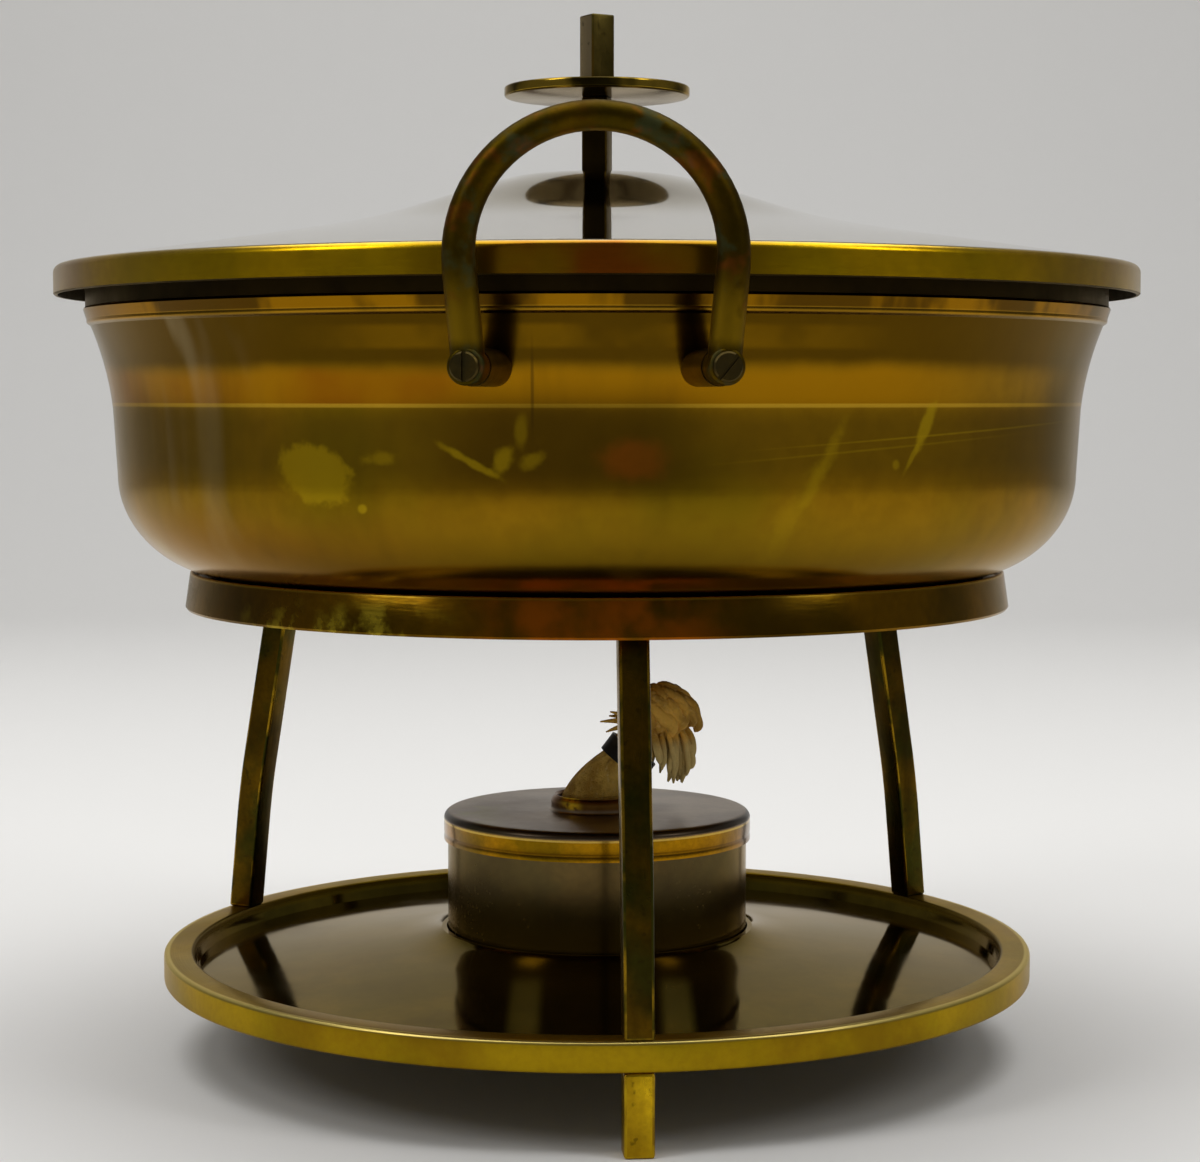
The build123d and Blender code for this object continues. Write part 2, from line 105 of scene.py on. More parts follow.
class Finish:
    """A material in the making: its nodes, its shader and the piece's own coordinates."""

    def __init__(self, name, roughness=0.3, metallic=1.0, **constants):
        self.material = bpy.data.materials.new(name)
        self.material.use_nodes = True
        self.tree = self.material.node_tree
        self.shader = self.tree.nodes["Principled BSDF"]
        self.place = self.node("ShaderNodeTexCoord", output="Object")
        for name, value in {"Roughness": roughness, "Metallic": metallic, **constants}.items():
            self.shader.inputs[name].default_value = value

    def node(self, kind, settings=None, inputs=None, output=0):
        node = self.tree.nodes.new(kind)
        for key, value in (settings or {}).items():
            setattr(node, key, value)
        for key, value in (inputs or {}).items():
            self.feed(node.inputs[key], value)
        return Value(self, node.outputs[output])

    def feed(self, socket, value):
        if isinstance(value, Value):
            self.tree.links.new(value.socket, socket)
        else:
            socket.default_value = value

    def set(self, **sockets):
        for name, value in sockets.items():
            self.feed(self.shader.inputs[name.replace("_", " ")], value)
        return self

    def axes(self):
        return [self.node("ShaderNodeSeparateXYZ", None, {0: self.place}, axis) for axis in range(3)]

    def noise(self, scale, detail=3, roughness=0.5, stretch=(1, 1, 1), shift=(0, 0, 0)):
        mapping = {"Vector": self.place, "Location": shift, "Scale": stretch}
        where = self.node("ShaderNodeMapping", None, mapping)
        sizes = {"Vector": where, "Scale": scale, "Detail": detail, "Roughness": roughness}
        return self.node("ShaderNodeTexNoise", None, sizes)

    def mix(self, factor, first, second):
        if not isinstance(first, Value):
            first = (*first, 1)
        if not isinstance(second, Value):
            second = (*second, 1)
        return self.node("ShaderNodeMix", {"data_type": "RGBA"}, {0: factor, 6: first, 7: second}, 2)

    def bump(self, height, distance, strength=1.0):
        return self.node("ShaderNodeBump", None, {"Height": height, "Distance": distance, "Strength": strength})


wall_colour = (0.80, 0.79, 0.77)
room_level = 0.16
stage_half_width = 3.0
stage_front = -2.5
stage_back = 1.3
wall_bend = 0.7
wall_height = 2.6
bend_steps = 24

stage_mesh = bmesh.new()
front_left = stage_mesh.verts.new((-stage_half_width, stage_front, 0))
front_right = stage_mesh.verts.new((stage_half_width, stage_front, 0))
edge = stage_mesh.edges.new((front_left, front_right))
run = bmesh.ops.extrude_edge_only(stage_mesh, edges=[edge])["geom"]
back = [v for v in run if isinstance(v, bmesh.types.BMVert)]
bmesh.ops.translate(stage_mesh, verts=back, vec=(0, stage_back - stage_front, 0))
back_edge = [e for e in run if isinstance(e, bmesh.types.BMEdge) and all(v in back for v in e.verts)]
bend_centre = (0, stage_back, wall_bend)
bend = bmesh.ops.spin(
    stage_mesh, geom=back_edge, cent=bend_centre, axis=(1, 0, 0), angle=math.pi / 2, steps=bend_steps
)["geom_last"]
bend_edge = [e for e in bend if isinstance(e, bmesh.types.BMEdge)]
rise = bmesh.ops.extrude_edge_only(stage_mesh, edges=bend_edge)["geom"]
top = [v for v in rise if isinstance(v, bmesh.types.BMVert)]
bmesh.ops.translate(stage_mesh, verts=top, vec=(0, 0, wall_height - wall_bend))
bmesh.ops.recalc_face_normals(stage_mesh, faces=stage_mesh.faces)
stage_data = bpy.data.meshes.new("stage")
stage_mesh.to_mesh(stage_data)
stage_mesh.free()
stage_data.shade_smooth()
stage = bpy.data.objects.new("stage", stage_data)
bpy.context.scene.collection.objects.link(stage)
paper = Finish("stage_paper", roughness=0.9, metallic=0.0)
paper.set(Base_Color=(*wall_colour, 1))
stage.data.materials.append(paper.material)

world = bpy.data.worlds.new("room")
world.use_nodes = True
world.node_tree.nodes["Background"].inputs["Color"].default_value = (room_level, room_level, room_level, 1)
bpy.context.scene.world = world


def soft_light(name, place, aim, width, height, power):
    """A rectangular soft light that faces a point."""
    lamp = bpy.data.lights.new(name, "AREA")
    lamp.shape = "RECTANGLE"
    lamp.size = width
    lamp.size_y = height
    lamp.energy = power
    holder = bpy.data.objects.new(name, lamp)
    holder.location = place
    holder.rotation_euler = (Vector(aim) - Vector(place)).to_track_quat("-Z", "Y").to_euler()
    bpy.context.scene.collection.objects.link(holder)


soft_light("overhead_light", (0, 0.1, 1.6), (0, 0.1, 0), 2.0, 1.6, 27)
soft_light("left_light", (-1.5, -0.9, 1.5), (0, 0, 0.15), 0.6, 0.9, 9)
soft_light("right_light", (1.6, -0.8, 1.5), (0, 0, 0.15), 0.5, 0.9, 6)

# The tray: one heavy turned piece of brass, a square satin rim round a polished dish that rises to the
# middle and flares up into a shallow cup for the burner. Its polish has gone brown. Two pale strips across
# the near part of the dish are painted reflections, and a highlight is painted along the rim's top edge.
tray_radius = 112.3 * mm
rim_inner = 104.7 * mm
rim_bottom = 19.3 * mm
rim_top = 26.5 * mm
dish_edge = Vector((103.9, 21.7)) * mm
dish_middle = Vector((46.6, 28.0)) * mm
seat_lip = Vector((40.6, 30.4)) * mm
flare_pull = Vector((43.0, 28.4)) * mm
flare_foot = Vector((54.0, 27.19)) * mm
seat_radius = 39.4 * mm
seat_floor = 26.0 * mm
tray_sheet = 1.2 * mm
rim_edge = 0.9 * mm
rim_wall_soft = 0.4 * mm
turn_steps = 192


def arc(centre, radii, start, end, steps):
    """Points on an arc or a quarter of an ellipse, from one angle to another, in degrees."""
    points = []
    for step in range(steps + 1):
        angle = math.radians(start + (end - start) * step / steps)
        points.append((centre[0] + radii[0] * math.cos(angle), centre[1] + radii[1] * math.sin(angle)))
    return points


def curve(points, steps):
    """Points on a Bezier curve of any degree through its first and last point."""
    line = []
    for step in range(steps + 1):
        t = step / steps
        level = [Vector(p) for p in points]
        while len(level) > 1:
            level = [a.lerp(b, t) for a, b in zip(level, level[1:])]
        line.append(tuple(level[0]))
    return line


def add_piece(name, mesh, materials, body, replaced, crease=30):
    """Makes a finished bmesh into a shown piece that stands for its nodes and rides on its body."""
    data = bpy.data.meshes.new(name)
    mesh.to_mesh(data)
    mesh.free()
    data.shade_smooth()
    data.set_sharp_from_angle(angle=math.radians(crease))
    for material in materials:
        data.materials.append(material)
    piece = bpy.data.objects.new(name, data)
    bpy.context.scene.collection.objects.link(piece)
    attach(piece, body)
    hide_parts(*replaced)
    return piece


def turned(outline, steps=turn_steps):
    """A closed bmesh from an outline of radius and height spun once round the dish's axis."""
    mesh = bmesh.new()
    verts = [mesh.verts.new((radius, 0, height)) for radius, height in outline]
    edges = [mesh.edges.new(pair) for pair in zip(verts, verts[1:])]
    if outline[0][0] > 0:
        edges.append(mesh.edges.new((verts[-1], verts[0])))
    bmesh.ops.spin(
        mesh, geom=verts + edges, cent=(0, 0, 0), axis=(0, 0, 1), angle=2 * math.pi, steps=steps, use_merge=True
    )
    bmesh.ops.remove_doubles(mesh, verts=mesh.verts, dist=1e-6)
    bmesh.ops.recalc_face_normals(mesh, faces=mesh.faces)
    return mesh


def brass_tones(finish, gold, olive, brown, patch=22.0, shift=0.0):
    """Aged brass: broad patches of gold and olive, clouded with brown, over a fine mottle."""
    patches = finish.noise(patch, 4, 0.55, shift=(shift, 0, 0)).rise(0.38, 0.62)
    clouds = finish.noise(patch * 0.45, 5, 0.6, shift=(0, shift + 3, 0)).rise(0.42, 0.72)
    mottle = finish.noise(patch * 14, 3, 0.6).rise(0.35, 0.7)
    colour = finish.mix(patches, gold, olive)
    colour = finish.mix(clouds * 0.75, colour, brown)
    return finish.mix(mottle * 0.22, colour, brown), patches, clouds


tray_outline = [(0, seat_floor), (seat_radius, seat_floor), (seat_radius, seat_lip.y)]
tray_outline += curve([seat_lip, flare_pull, flare_foot], 14)
tray_outline += [tuple(dish_edge), (rim_inner, rim_top - rim_edge)]
tray_outline += arc((rim_inner + rim_edge, rim_top - rim_edge), (rim_edge, rim_edge), 180, 90, 4)
tray_outline += arc((tray_radius - rim_edge, rim_top - rim_edge), (rim_edge, rim_edge), 90, 0, 4)
tray_outline += arc((tray_radius - rim_edge, rim_bottom + rim_edge), (rim_edge, rim_edge), 0, -90, 4)
tray_outline += [(rim_inner, rim_bottom), (dish_edge.x, dish_edge.y - tray_sheet)]
tray_outline += [(dish_middle.x, dish_middle.y - tray_sheet), (seat_lip.x + tray_sheet, seat_floor)]
tray_outline += [(seat_lip.x, seat_floor - tray_sheet), (0, seat_floor - tray_sheet)]

brown_edge = {"Specular Tint": (0.92, 0.82, 0.66, 1)}
tray_finish = Finish("tray_brass", roughness=0.2, **brown_edge)
x, y, z = tray_finish.axes()
radius = (x * x + y * y).math("POWER", 0.5)
rim_mask = radius.rise(rim_inner - rim_wall_soft, rim_inner)
dish_colour, _, dish_clouds = brass_tones(
    tray_finish, (0.16, 0.110, 0.012), (0.11, 0.082, 0.010), (0.045, 0.028, 0.004), 30
)
rim_colour = brass_tones(
    tray_finish, (0.38, 0.245, 0.006), (0.30, 0.205, 0.005), (0.19, 0.095, 0.005), 40, 7
)[0]
ring_lines = tray_finish.node(
    "ShaderNodeTexNoise", {"noise_dimensions": "1D"}, {"W": radius, "Scale": 2600.0, "Detail": 2.0}
)
inner_wall = rim_mask * radius.rise(rim_inner + 0.9 * mm, rim_inner + 0.3 * mm)
rim_colour = tray_finish.mix(inner_wall * 0.75, rim_colour, (0.060, 0.034, 0.003))
# A painted highlight: a pale gold line along the rim's top outer edge.
painted_rim_highlight = radius.band(tray_radius - 0.8 * mm, 0.45 * mm, 0.5 * mm)
painted_rim_highlight = painted_rim_highlight * z.rise(rim_top - 1.0 * mm, rim_top - 0.4 * mm)
rim_colour = tray_finish.mix(painted_rim_highlight * 0.7, rim_colour, (0.80, 0.66, 0.22))
# Painted reflections: two pale strips across the near dish, with lighter colour, less metal and more roughness
# there.
painted_reflection_strips = x.band(-17 * mm, 2.0 * mm, 3.0 * mm) * 0.5 + x.band(19 * mm, 2.0 * mm, 3.0 * mm) * 0.7
painted_reflection_strips = painted_reflection_strips * y.rise(-46 * mm, -58 * mm) * y.rise(-102 * mm, -84 * mm)
dish_colour = tray_finish.mix(painted_reflection_strips * 0.8, dish_colour, (0.15, 0.115, 0.020))
tray_finish.set(
    Base_Color=tray_finish.mix(rim_mask, dish_colour, rim_colour),
    Metallic=1 - painted_reflection_strips * 0.8,
    Roughness=rim_mask * 0.24 + dish_clouds * 0.10 + painted_reflection_strips * 0.2 + 0.07,
    Normal=tray_finish.bump(ring_lines * rim_mask + tray_finish.noise(35, 2) * 3, 0.00006, 0.5),
)
add_piece("tray_turned", turned(tray_outline), [tray_finish.material], "stand", ["tray"])

# Legs and feet: seven millimetre square brass bar. The legs bend once and stand on the tray's rim; the
# feet are short ends of the same bar under it. The bevelled edges are rubbed bright.
bar_width = 7.0 * mm
leg_turns = {"front": -85.1, "rear_right": 34.9, "rear_left": 154.9}
leg_foot_place = 108.5 * mm
leg_bend_place = Vector((105.0, 60.0)) * mm
leg_top_place = Vector((93.9, 121.3)) * mm
bar_bevel = 0.7 * mm
bend_reach = 9 * mm
leg_tones = ((0.105, 0.055, 0.003), (0.036, 0.034, 0.004), (0.014, 0.007, 0.001))
foot_tones = ((0.78, 0.50, 0.012), (0.50, 0.32, 0.010), (0.22, 0.11, 0.005))


def drawn_bar(mesh, stations, sides, cap=True):
    """Adds a bar, or an open tube, through stations of centre, direction, reference side and radius."""
    rings = []
    for centre, direction, side, size in stations:
        along = Vector(direction).normalized()
        across = (Vector(side) - along * Vector(side).dot(along)).normalized()
        up = along.cross(across)
        turn = Matrix((across, up, along)).transposed().to_4x4()
        ring = bmesh.ops.create_circle(
            mesh, segments=sides, radius=size, matrix=Matrix.Translation(centre) @ turn
        )["verts"]
        rings.append(list({edge for vert in ring for edge in vert.link_edges}))
    for first, second in zip(rings, rings[1:]):
        bmesh.ops.bridge_loops(mesh, edges=first + second)
    if cap:
        bmesh.ops.contextual_create(mesh, geom=rings[0])
        bmesh.ops.contextual_create(mesh, geom=rings[-1])


def square_bar(stations, bevel=bar_bevel):
    """A square bar whose long edges are rounded, with the worn finish on the rounding."""
    mesh = bmesh.new()
    half_diagonal = bar_width / math.sqrt(2)
    turned_stations = []
    for centre, direction, side in stations:
        along = Vector(direction).normalized()
        corner = Matrix.Rotation(math.pi / 4, 3, along) @ Vector(side)
        turned_stations.append((centre, direction, corner, half_diagonal))
    drawn_bar(mesh, turned_stations, 4)
    bmesh.ops.recalc_face_normals(mesh, faces=mesh.faces)
    sharp = [e for e in mesh.edges if len(e.link_faces) == 2 and e.calc_face_angle(0) > 1.0]
    bmesh.ops.bevel(mesh, geom=sharp, offset=bevel, segments=3, profile=0.5, affect="EDGES", material=1)
    return mesh


def bar_finishes(name, gold, olive, brown, shift, bright=(0.28, 0.16, 0.008), painted_lit_side=None):
    """The dull brass of a bar's faces, with one face painted paler as a lit side if wanted, and of its rubbed
    edges.
    """
    face = Finish(name, roughness=0.34, **brown_edge)
    colour, _, clouds = brass_tones(face, gold, olive, brown, 55, shift)
    streaks = face.noise(120, 3, 0.6, stretch=(1, 1, 0.12), shift=(shift, 0, 0)).rise(0.45, 0.7)
    specks = face.noise(420, 2, 0.5).rise(0.62, 0.72)
    colour = face.mix(streaks * 0.5, colour, brown)
    # Painted light: the chosen face is painted paler, as if lit.
    if painted_lit_side:
        x, y = face.axes()[:2]
        on_painted_lit_side = (x * painted_lit_side.x + y * painted_lit_side.y).rise(2.9 * mm, 3.1 * mm)
        colour = face.mix(on_painted_lit_side * 0.8, colour, (0.36, 0.28, 0.16))
    face.set(
        Base_Color=face.mix(specks * 0.5, colour, (0.02, 0.012, 0.003)),
        Roughness=streaks * 0.15 + clouds * 0.12 + 0.26,
        Normal=face.bump(face.noise(260, 3) + streaks, 0.00008, 0.6),
    )
    edge = Finish(name + "_worn", roughness=0.28)
    rubbed = edge.noise(70, 4, 0.6, shift=(shift, 5, 0)).rise(0.4, 0.6)
    edge.set(
        Base_Color=edge.mix(rubbed, bright, olive),
        Roughness=rubbed * 0.12 + 0.24,
        Normal=edge.bump(edge.noise(300, 2), 0.00006, 0.5),
    )
    return [face.material, edge.material]


for name, turn in leg_turns.items():
    out = Vector((math.cos(math.radians(turn)), math.sin(math.radians(turn)), 0))
    side = Vector((-out.y, out.x, 0))
    foot_place = Vector((leg_foot_place, rim_top))
    lower = (foot_place - leg_bend_place).normalized()
    upper = (leg_top_place - leg_bend_place).normalized()
    bend = [leg_bend_place + lower * bend_reach, leg_bend_place, leg_bend_place + upper * bend_reach]
    path = [foot_place] + [Vector(point) for point in curve(bend, 8)] + [leg_top_place]
    stations = []
    for index, point in enumerate(path):
        direction = (0, 0, 1)
        if 0 < index < len(path) - 1:
            run = path[index + 1] - path[index - 1]
            direction = out * run.x + Vector((0, 0, run.y))
        stations.append((out * point.x + Vector((0, 0, point.y)), direction, side))
    finishes = bar_finishes(name + "_leg_brass", *leg_tones, turn)
    add_piece(name + "_leg_bar", square_bar(stations), finishes, "stand", [name + "_leg"])
    stations = [(out * leg_foot_place + Vector((0, 0, height)), (0, 0, 1), side) for height in (0, rim_bottom)]
    finishes = bar_finishes(name + "_foot_brass", *foot_tones, turn + 40)
    add_piece(name + "_foot_bar", square_bar(stations), finishes, "stand", [name + "_foot"])

# The support ring: a spun brass band that flares a little downwards, with an inward flange under the
# pan that is screwed to the legs. Its face is dark olive with yellow-green stains at the lower left and
# a reddish middle.
ring_top = 124.2 * mm
ring_bottom = 114.8 * mm
ring_radius = 104.7 * mm
ring_bottom_radius = 106.0 * mm
ring_sheet = 1.6 * mm
ring_round = 0.6 * mm
ring_chamfer = 0.5 * mm
flange_inner = 86.0 * mm
flange_top = 122.9 * mm

ring_outline = [(flange_inner, flange_top - ring_sheet), (flange_inner, flange_top)]
ring_outline += [(ring_radius - ring_sheet, flange_top), (ring_radius - ring_sheet, ring_top - 0.4 * mm)]
ring_outline += arc((ring_radius - ring_round, ring_top - ring_round), (ring_round, ring_round), 110, 20, 4)
ring_outline += [(ring_bottom_radius - 0.1 * mm, ring_bottom + ring_round)]
ring_outline += [(ring_bottom_radius - ring_chamfer, ring_bottom)]
ring_outline += [(ring_bottom_radius - ring_sheet, ring_bottom)]
ring_outline += [(ring_radius - ring_sheet, flange_top - ring_sheet)]

ring_finish = Finish("ring_brass", roughness=0.3, **brown_edge)
x, y, z = ring_finish.axes()
ring_colour, _, ring_clouds = brass_tones(
    ring_finish, (0.21, 0.100, 0.003), (0.100, 0.054, 0.002), (0.040, 0.018, 0.002), 34, 12
)
on_front = y.rise(0, -20 * mm)
stain = ring_finish.noise(110, 4, 0.6, shift=(4, 1, 0)).rise(0.46, 0.66) * x.band(-58 * mm, 14 * mm, 16 * mm)
stain = stain * on_front * z.rise(ring_top, ring_bottom) * 0.7
ring_colour = ring_finish.mix(stain, ring_colour, (0.55, 0.42, 0.03))
redness = ring_finish.noise(90, 3).rise(0.3, 0.65) * x.band(0, 12 * mm, 24 * mm) * on_front
ring_colour = ring_finish.mix(redness * 0.8, ring_colour, (0.50, 0.12, 0.004))
# A painted highlight: a pale gold line along the ring's top edge.
ring_edge_painted_highlight = z.rise(ring_top - 0.9 * mm, ring_top - 0.3 * mm)
ring_finish.set(
    Base_Color=ring_finish.mix(ring_edge_painted_highlight * 0.5, ring_colour, (0.50, 0.32, 0.03)),
    Roughness=ring_clouds * 0.12 + stain * 0.2 + 0.2,
    Normal=ring_finish.bump(ring_finish.noise(140, 3, stretch=(1, 1, 6)), 0.00006, 0.5),
)
ring_mesh = turned(ring_outline)
add_piece("support_ring_spun", ring_mesh, [ring_finish.material], "stand", ["support_ring"])

# The spirit burner's can: drawn from brass sheet with a rounded foot, and standing loose in the tray's
# cup. Dark brown with age, warmer and lighter near the foot.
can_radius = 39.0 * mm
can_bottom = 26.0 * mm
can_top = 60.2 * mm
can_sheet = 0.8 * mm
can_foot = 1.4 * mm
can_floor = can_bottom + 2.2 * mm
fine_turn_steps = 128

can_outline = [(0, can_bottom), (can_radius - can_foot, can_bottom)]
can_outline += arc((can_radius - can_foot, can_bottom + can_foot), (can_foot, can_foot), -90, 0, 5)
can_outline += [(can_radius, can_top), (can_radius - can_sheet, can_top)]
can_outline += [(can_radius - can_sheet, can_floor), (0, can_floor)]

can_finish = Finish("burner_brass", roughness=0.35, **brown_edge)
z = can_finish.axes()[2]
can_colour, _, can_clouds = brass_tones(
    can_finish, (0.125, 0.082, 0.026), (0.085, 0.062, 0.022), (0.050, 0.034, 0.016), 45, 20
)
warm_foot = z.rise(45 * mm, 32 * mm) * 0.55
can_colour = can_finish.mix(warm_foot, can_colour, (0.20, 0.13, 0.008))
pits = can_finish.noise(900, 2, 0.5).rise(0.62, 0.74)
foot_line = z.band(can_bottom + 4.2 * mm, 0.15 * mm, 0.2 * mm)
can_colour = can_finish.mix(foot_line * 0.5, can_colour, (0.22, 0.13, 0.02))
can_finish.set(
    Base_Color=can_finish.mix(pits * 0.10, can_colour, (0.24, 0.18, 0.06)),
    Roughness=can_clouds * 0.10 + pits * 0.06 + 0.20,
    Normal=can_finish.bump(can_finish.noise(300, 2) + can_finish.noise(30, 2) * 4, 0.00002, 0.4),
)
can_mesh = turned(can_outline, fine_turn_steps)
add_piece("burner_can_drawn", can_mesh, [can_finish.material], "burner", ["burner_can"])

# The burner's push-on cap, pressed from sheet: a grey-brown top with a rolled edge, a golden skirt with
# a shallow groove above its lower bead, and a raised rounded collar round the wick hole.
cap_top = 60.9 * mm
cap_radius = 40.0 * mm
cap_sheet = 0.7 * mm
skirt_bottom = 53.5 * mm
cap_edge = 1.9 * mm
collar_radius = 12.0 * mm
collar_top = 64.9 * mm
wick_hole = 10.1 * mm
collar_round = 1.9 * mm
collar_foot_round = 0.8 * mm
collar_inner_round = 0.9 * mm
groove_depth = 0.1 * mm

cap_outline = [(wick_hole, cap_top - cap_sheet), (wick_hole, collar_top - collar_inner_round)]
cap_outline += arc(
    (wick_hole + collar_inner_round, collar_top - collar_inner_round), (collar_inner_round,) * 2, 180, 90, 5
)
cap_outline += arc((collar_radius - collar_round, collar_top - collar_round), (collar_round,) * 2, 60, 0, 7)
cap_outline += arc(
    (collar_radius + collar_foot_round, cap_top + collar_foot_round), (collar_foot_round,) * 2, 180, 270, 5
)
cap_outline += [(cap_radius - cap_edge - 2 * mm, cap_top)]
cap_outline += arc((cap_radius - cap_edge, cap_top - cap_edge), (cap_edge, cap_edge), 90, 0, 7)
for rise, depth in ((2.2, 0), (1.7, groove_depth), (1.3, groove_depth), (0.9, 0), (0, 0)):
    cap_outline.append((cap_radius - depth, skirt_bottom + rise * mm))
cap_outline += [(cap_radius - cap_sheet, skirt_bottom), (cap_radius - cap_sheet, cap_top - cap_sheet)]

cap_finish = Finish("cap_brass", roughness=0.3)
x, y, z = cap_finish.axes()
radius = (x * x + y * y).math("POWER", 0.5)
cap_colour, _, cap_clouds = brass_tones(
    cap_finish, (0.32, 0.235, 0.15), (0.23, 0.165, 0.105), (0.15, 0.105, 0.065), 50, 31
)
skirt_colour = brass_tones(cap_finish, (0.36, 0.17, 0.004), (0.18, 0.10, 0.003), (0.07, 0.03, 0.002), 60, 33)[0]
on_skirt = z.rise(cap_top - 1.5 * mm, cap_top - 2.2 * mm)
# A painted dark reflection on the cap's rolled edge.
roll_painted_reflection = z.band(cap_top - 0.9 * mm, 0.5 * mm, 0.4 * mm)
groove = z.band(skirt_bottom + 1.5 * mm, 0.4 * mm, 0.3 * mm)
on_collar = z.rise(cap_top + 0.6 * mm, cap_top + 1.6 * mm)
green_spot = cap_finish.noise(60, 3).rise(0.5, 0.6) * x.rise(-20 * mm, -34 * mm)
cap_colour = cap_finish.mix(green_spot * 0.6, cap_colour, (0.22, 0.19, 0.03))
cap_colour = cap_finish.mix(roll_painted_reflection * 0.8, cap_colour, (0.030, 0.022, 0.014))
skirt_colour = cap_finish.mix(groove * 0.6, skirt_colour, (0.10, 0.045, 0.003))
# A painted highlight: a thin pale line at the top of the skirt, under the rolled edge.
skirt_painted_highlight = z.band(cap_top - 2.2 * mm, 0.15 * mm, 0.25 * mm)
skirt_colour = cap_finish.mix(skirt_painted_highlight * 0.6, skirt_colour, (0.70, 0.48, 0.10))
cap_colour = cap_finish.mix(on_skirt, cap_colour, skirt_colour)
# A painted highlight: a speckled gold patch on the collar's left front, over the collar's brown.
collar_painted_highlight = x.band(-6.6 * mm, 0.2 * mm, 3.4 * mm) * y.rise(0, -4 * mm)
collar_painted_highlight = collar_painted_highlight * cap_finish.noise(420, 2).rise(0.3, 0.55)
collar_tone_with_highlight = cap_finish.mix(collar_painted_highlight, (0.16, 0.065, 0.003), (0.85, 0.52, 0.015))
cap_finish.set(
    Base_Color=cap_finish.mix(on_collar * 0.9, cap_colour, collar_tone_with_highlight),
    Roughness=(1 - on_skirt) * 0.14 + cap_clouds * 0.08 + 0.17,
    Normal=cap_finish.bump(cap_finish.noise(380, 3), 0.00006, 0.4),
)
cap_mesh = turned(cap_outline, fine_turn_steps)
add_piece("burner_cap_pressed", cap_mesh, [cap_finish.material], "burner_cap", ["burner_cap"])

# The wick: a thick twist of cotton that fills the collar, then narrows and leans over to the right, up
# into a dark metal band. The twist is a rounded bar along a curve, under a fibrous finish.
wick_radius = 9.8 * mm
band_low = Vector((6.7, 0, 72.7)) * mm
band_tilt = math.radians(37)
band_height = 5.0 * mm
wick_lean = Vector((math.sin(band_tilt), 0, math.cos(band_tilt)))
band_high = band_low + wick_lean * band_height
neck_steps = 12
neck_waist = 6.0
neck_swell = 3.4
neck_end = 5.9 * mm
wick_sides = 48

neck_mesh = bmesh.new()
neck_stations = [(Vector((0, 0, cap_top - 0.6 * mm)), (0, 0, 1), (0, 1, 0), wick_radius)]
neck_path = curve([(0, collar_top - 1 * mm), (0, collar_top + 4 * mm), (band_low.x, band_low.z)], neck_steps)
for step, (across, height) in enumerate(neck_path):
    share = step / neck_steps
    lean = band_tilt * share
    size = (neck_waist + neck_swell * (1 - share) ** 2) * mm
    neck_stations.append((Vector((across, 0, height)), (math.sin(lean), 0, math.cos(lean)), (0, 1, 0), size))
neck_stations.append((band_high + wick_lean * 0.5 * mm, wick_lean, (0, 1, 0), neck_end))
drawn_bar(neck_mesh, neck_stations, wick_sides)
bmesh.ops.recalc_face_normals(neck_mesh, faces=neck_mesh.faces)

cotton = Finish("wick_cotton", roughness=0.9, metallic=0.0)
fibres = cotton.noise(900, 3, 0.7, stretch=(1, 1, 0.35))
tufts = cotton.noise(260, 4, 0.6)
cotton_colour = cotton.mix(tufts.rise(0.35, 0.65), (0.72, 0.46, 0.085), (0.46, 0.26, 0.035))
cotton.set(
    Base_Color=cotton.mix(fibres.rise(0.55, 0.7) * 0.4, cotton_colour, (0.80, 0.62, 0.22)),
    Normal=cotton.bump(fibres + tufts * 2, 0.0010, 0.9),
)
add_piece("wick_neck", neck_mesh, [cotton.material], "burner_cap", ["wick"], 60)

# The band: a short open tube of black metal that pinches the wick and leans with it. It is made from an
# outer and an inner tube, joined at both edges.
band_radius = 7.0 * mm
band_sheet = 0.8 * mm

band_mesh = bmesh.new()
for size in (band_radius, band_radius - band_sheet):
    stations = [(place, wick_lean, (0, 1, 0), size) for place in (band_low, band_high)]
    drawn_bar(band_mesh, stations, wick_sides, cap=False)
open_edges = [e for e in band_mesh.edges if len(e.link_faces) == 1]
low_side = [e for e in open_edges if all((v.co - band_low).dot(wick_lean) < band_height / 2 for v in e.verts)]
high_side = [e for e in open_edges if e not in low_side]
bmesh.ops.bridge_loops(band_mesh, edges=low_side)
bmesh.ops.bridge_loops(band_mesh, edges=high_side)
bmesh.ops.recalc_face_normals(band_mesh, faces=band_mesh.faces)
black = Finish("band_black", roughness=0.5, metallic=0.6)
black.set(Base_Color=black.mix(black.noise(300, 3).rise(0.5, 0.7), (0.012, 0.011, 0.010), (0.035, 0.028, 0.02)))
black.set(Roughness=black.noise(200, 2) * 0.3 + 0.35, Normal=black.bump(black.noise(500, 3), 0.0001, 0.5))
add_piece("wick_band", band_mesh, [black.material], "burner_cap", ["wick_clip"])

# The frayed head: locks of loose cotton round a soft core. Arched locks run over the crown from its
# middle, hanging ones flop down over the band on the right, and a few wisps point left. The hanging
# ones start past hang_start, are full length within hang_width and shorten again by hang_fade.
dice = random.Random(7)
golden_turn = 2.39996
crown_centre = Vector((14.4, 0, 82.2)) * mm
crown_reach = Vector((12.0, 10.6, 11.2)) * mm
left_reach = 0.66
arched_locks = 50
arch_lift = 86
arch_spread = 42
arch_step = math.radians(14)
hanging_locks = 96
longest_hang = 13.8 * mm
hang_start = 11
hang_width = 7
hang_least = 0.62
hang_fade_start = 23
hang_fade_width = 4
hang_fade = 0.45
wisp_tips = ((0.9, -2.0, 83.9), (2.4, -3.0, 81.4), (3.4, -2.5, 86.4), (3.0, 2.0, 84.8))
core_reach = Vector((8.8, 9.2, 7.2)) * mm
core_shift = Vector((1.4, 0, 3.4)) * mm

